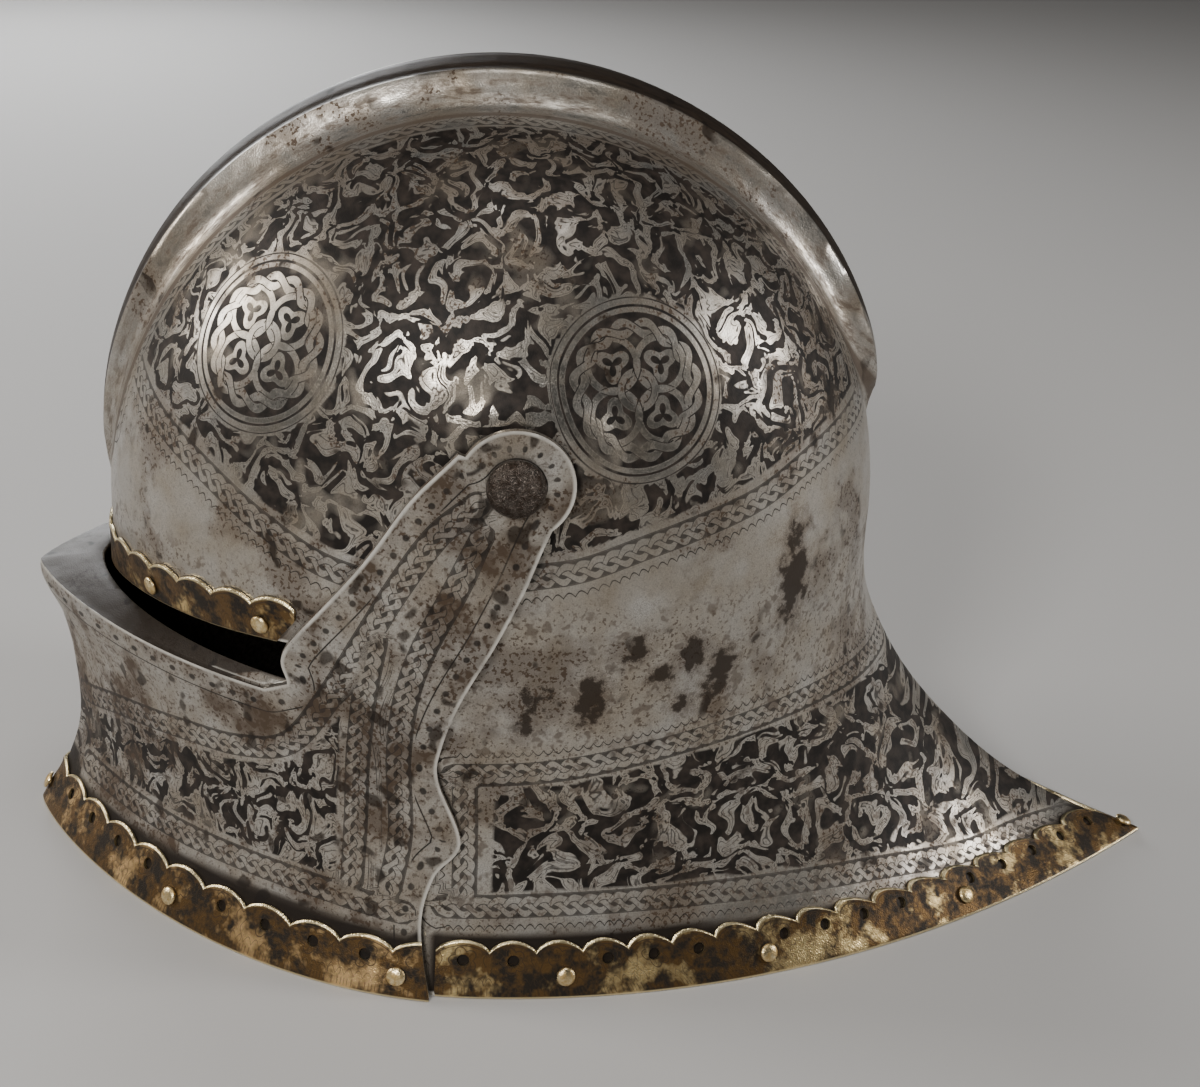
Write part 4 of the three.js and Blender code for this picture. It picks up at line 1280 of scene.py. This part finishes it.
def brassMaterial(name, pitch, scallop, patina, tint):
    made, tree, shader = newMaterial(name)
    place = millimetres(tree)
    *_, grain, haze = use(tree, stains, place)
    maps = []
    for layer in ("place", "rise"):
        node = tree.nodes.new("ShaderNodeUVMap")
        node.uv_map = layer
        first, other, _ = separate(tree, Term(tree, node.outputs[0]))
        maps.append((first * 100, other * 100))
    (run, height), (part, fromTop) = maps
    dx = (part - 0.5) * pitch
    dy = height - scallop["holeAt"]
    r = hypot(dx, dy)
    turn = dy.math("ARCTAN2", dx)
    petals = (turn * 2.5).sin().abs() * engraving["petalTall"] + engraving["petals"]
    petals = (r - petals).abs().below(0.2, 0.16)
    ribs = (turn * 2.5).cos().abs().below(0.1, 0.08) * r.below(engraving["ribs"], 0.2)
    arc = (fromTop - engraving["arc"]).abs().below(0.18, 0.14)
    stems = (dx.abs() - (height * 0.9).sin() * 0.7 - pitch * 0.42).abs().below(0.18, 0.14)
    stems = stems * height.above(4, 0.5)
    hatch = (run * 4.2 + (run * 0.7).sin() * 3).sin().above(0.72, 0.2)
    hatchFrom, hatchTo = engraving["hatch"]
    hatch = hatch * height.below(hatchTo, 0.4) * height.above(hatchFrom, 0.3)
    zigzag = ((run * 1.05).sin().abs() * 2.2 + engraving["zigzag"] - height).abs().below(0.18, 0.16)
    lines = petals * r.below(5 if scallop["pierced"] else 0, 0.3)
    lines = lines.max(ribs * 0.6).max(arc).max(stems * 0.8).max(hatch * 0.7).max(zigzag * 0.8)
    old = noise(tree, place, 0.06, 4, 0.66).above(patina, 0.14)
    blackness = noise(tree, place, 0.16, 3, 0.7).above(0.5, 0.16)
    colour = blend(tree, grain.above(0.5, 0.6), brass["gold"], tint)
    colour = blend(tree, old, colour, brass["brown"])
    colour = blend(tree, old * blackness, colour, brass["black"])
    colour = blend(tree, lines * 0.85, colour, brass["line"])
    # painted highlight: the scalloped upper rim and the lower edge are painted pale gold and kept shiny
    rim = fromTop.below(0.7, 0.5).max(height.below(0.5, 0.4))
    colour = blend(tree, rim * 0.85, colour, brass["pale"])
    dark = (old * (blackness * 0.5 + 0.35)).max(lines * 0.8) * (1 - rim)
    rough = 0.26 + grain * 0.12 + dark * 0.3
    finishMaterial(tree, shader, colour, 1 - dark * 0.6, rough, grain * 0.5 + haze * 0.6, 0.00025)
    return made


def plainMaterial(name, colour, worn, rough, depth, metal=1.0):
    made, tree, shader = newMaterial(name)
    place = millimetres(tree)
    grain = use(tree, stains, place)[3]
    some = noise(tree, place, 0.45, 4, 0.7)
    share = some.above(0.5, 0.25)
    mixed = blend(tree, share, colour, worn)
    finishMaterial(tree, shader, mixed, metal, rough + share * 0.25, grain * 0.5 + some * 1.5, depth)
    return made


insideSteel = plainMaterial("insideSteel", (0.12, 0.1, 0.085), (0.05, 0.04, 0.03), 0.55, 0.0003, 0.8)
pivotSteel = plainMaterial("pivotSteel", (0.13, 0.11, 0.095), (0.045, 0.032, 0.024), 0.26, 0.0009)
rivetBrass = plainMaterial("rivetBrass", (0.86, 0.72, 0.44), (0.55, 0.38, 0.16), 0.24, 0.00012)
brassOf = {
    "browBrass": brassMaterial("browAged", browPitch, browScallop, 0.36, (0.8, 0.6, 0.3)),
    "visorBrass": brassMaterial("visorAged", visorPitch, visorScallop, 0.43, (0.78, 0.5, 0.27)),
    "tailBrass": brassMaterial("tailAged", tailPitch, tailScallop, 0.41, (0.86, 0.7, 0.38)),
}


def readAttribute(mesh, name):
    values = np.empty(3 * len(mesh.vertices), np.float32)
    mesh.attributes[name].data.foreach_get("vector", values)
    return values.reshape(-1, 3)


def assignSteel(mesh, isSkull):
    # A steel for each mix of decoration that faces need, so that plain ones stay quick to shade
    points, _ = meshArrays(mesh)
    x, y, z = points.T
    bands, field, wear = (readAttribute(mesh, label) for label in ("bands", "field", "wear"))
    flags = {"bands": bands[:, 2] > 0, "field": field[:, 2] > 0}
    if isSkull:
        flags["comb"] = wear[:, 1] < 18
        flags["spots"] = (np.abs(x) > 28) & (y > -55) & (y < 60) & (z > 75) & (z < 150)
        away = [np.linalg.norm(points - roundels[key], axis=1) for key in ("front", "back")]
        flags["roundel"] = np.minimum(*away) < roundels["radius"] + 2
    else:
        flags["edge"] = wear[:, 0] < 10
    loops = np.empty(len(mesh.loops), np.int32)
    mesh.loops.foreach_get("vertex_index", loops)
    starts = np.empty(len(mesh.polygons), np.int32)
    mesh.polygons.foreach_get("loop_start", starts)
    code = np.zeros(len(mesh.polygons), np.int32)
    for bit, flag in enumerate(flags.values()):
        code += np.logical_or.reduceat(flag[loops], starts).astype(np.int32) << bit
    codes, chosen = np.unique(code, return_inverse=True)
    for value in codes:
        needs = [label for bit, label in enumerate(flags) if value >> bit & 1]
        label = ("etchedSteel" if isSkull else "visorSteel") + "".join(n.capitalize() for n in needs)
        mesh.materials.append(steelMaterial(label, isSkull, needs))
    return chosen.astype(np.int32).ravel()


for name, (piece, body, nodes) in pieces.items():
    mesh = piece.data
    mesh.materials.clear()
    if name in ("skullShell", "visorShell"):
        chosenIndex = assignSteel(mesh, name == "skullShell")
        centres, normals = np.empty(3 * len(mesh.polygons)), np.empty(3 * len(mesh.polygons))
        mesh.polygons.foreach_get("center", centres)
        mesh.polygons.foreach_get("normal", normals)
        centres, normals = centres.reshape(-1, 3) / metres, normals.reshape(-1, 3)
        reach = np.linalg.norm(centres - [0, shape["centreY"], 60], axis=1)
        inside = (outsideOf(centres, normals) < -0.15 * reach) & (normals[:, 2] < 0.9)
        mesh.materials.append(insideSteel)
        chosenIndex[inside] = len(mesh.materials) - 1
        mesh.polygons.foreach_set("material_index", chosenIndex)
    else:
        chosen = brassOf.get(name, rivetBrass if "Rivet" in name else pivotSteel)
        mesh.materials.append(chosen)
        mesh.polygons.foreach_set("material_index", np.zeros(len(mesh.polygons), np.int32))
        slotName = "aged_brass" if name in brassOf else "rivet_brass" if "Rivet" in name else "dark_steel"
print("materials")

stage = {"floor": 6.0, "floorColour": (0.5, 0.49, 0.48, 1), "world": 0.1}


def makeStage():
    floorMesh = bpy.data.meshes.new("floor")
    h = stage["floor"]
    floorMesh.from_pydata([(-h, -h, 0), (h, -h, 0), (h, h, 0), (-h, h, 0)], [], [(0, 1, 2, 3)])
    floor = makeObject("floor", floorMesh)
    pale = bpy.data.materials.new("paleFloor")
    pale.use_nodes = True
    shader = pale.node_tree.nodes["Principled BSDF"]
    shader.inputs["Base Color"].default_value = stage["floorColour"]
    shader.inputs["Roughness"].default_value = 0.75
    floorMesh.materials.append(pale)
    world = bpy.data.worlds.new("studio")
    world.use_nodes = True
    tree = world.node_tree
    place = tree.nodes.new("ShaderNodeTexCoord")
    _, _, up = separate(tree, Term(tree, place.outputs["Generated"]))
    sky = blend(tree, up.above(0.45, 0.9), (0.62, 0.61, 0.59), (0.06, 0.06, 0.065))
    tree.links.new(sky.socket, tree.nodes["Background"].inputs["Color"])
    tree.nodes["Background"].inputs["Strength"].default_value = stage["world"]
    bpy.context.scene.world = world


# place and target in metres, size in metres, power in watts
lights = {
    "key": ((1.25, -0.58, 0.92), (0, -0.04, 0.15), 0.3, 15.0, (1, 0.98, 0.95)),
    "side": ((0.12, 1.7, 0.72), (0, 0.0, 0.12), 0.42, 14.0, (1, 0.98, 0.96)),
    "front": ((-0.3, -1.6, 0.8), (0, -0.05, 0.12), 0.6, 15.0, (1, 0.96, 0.91)),
    "rim": ((-1.35, -0.5, 0.5), (0, 0, 0.12), 0.6, 9.0, (0.96, 0.98, 1)),
    "top": ((0.3, 0.1, 1.9), (0, 0, 0.1), 0.8, 8.0, (1, 0.99, 0.97)),
}


def makeLights():
    for name, (place, target, size, power, colour) in lights.items():
        lamp = bpy.data.lights.new(name, "AREA")
        lamp.energy, lamp.size, lamp.color = power, size, colour
        holder = bpy.data.objects.new(name, lamp)
        holder.location = place
        holder.rotation_euler = (Vector(target) - Vector(place)).to_track_quat("-Z", "Y").to_euler()
        bpy.context.scene.collection.objects.link(holder)


camera = {
    "azimuth": 5.5,
    "elevation": 24.0,
    "roll": 4.594,
    "place": (0.66685, -0.07273, 0.40269),
    "lens": 66.0,
}


def makeCamera():
    a, e, roll = (math.radians(camera[k]) for k in ("azimuth", "elevation", "roll"))
    back = Vector((math.cos(e) * math.cos(a), -math.cos(e) * math.sin(a), math.sin(e)))
    level = Vector((math.sin(a), math.cos(a), 0))
    upright = level.cross(-back)
    right = math.cos(roll) * level + math.sin(roll) * upright
    up = math.cos(roll) * upright - math.sin(roll) * level
    lens = bpy.data.cameras.new("camera")
    lens.lens, lens.sensor_width, lens.sensor_fit = camera["lens"], 36.0, "HORIZONTAL"
    lens.clip_start, lens.clip_end = 0.01, 50
    holder = bpy.data.objects.new("camera", lens)
    turn = Matrix((right, up, back)).transposed().to_4x4()
    holder.matrix_world = Matrix.Translation(camera["place"]) @ turn
    bpy.context.scene.collection.objects.link(holder)
    bpy.context.scene.camera = holder


makeStage()
makeLights()
makeCamera()
print("stage, lights and camera")
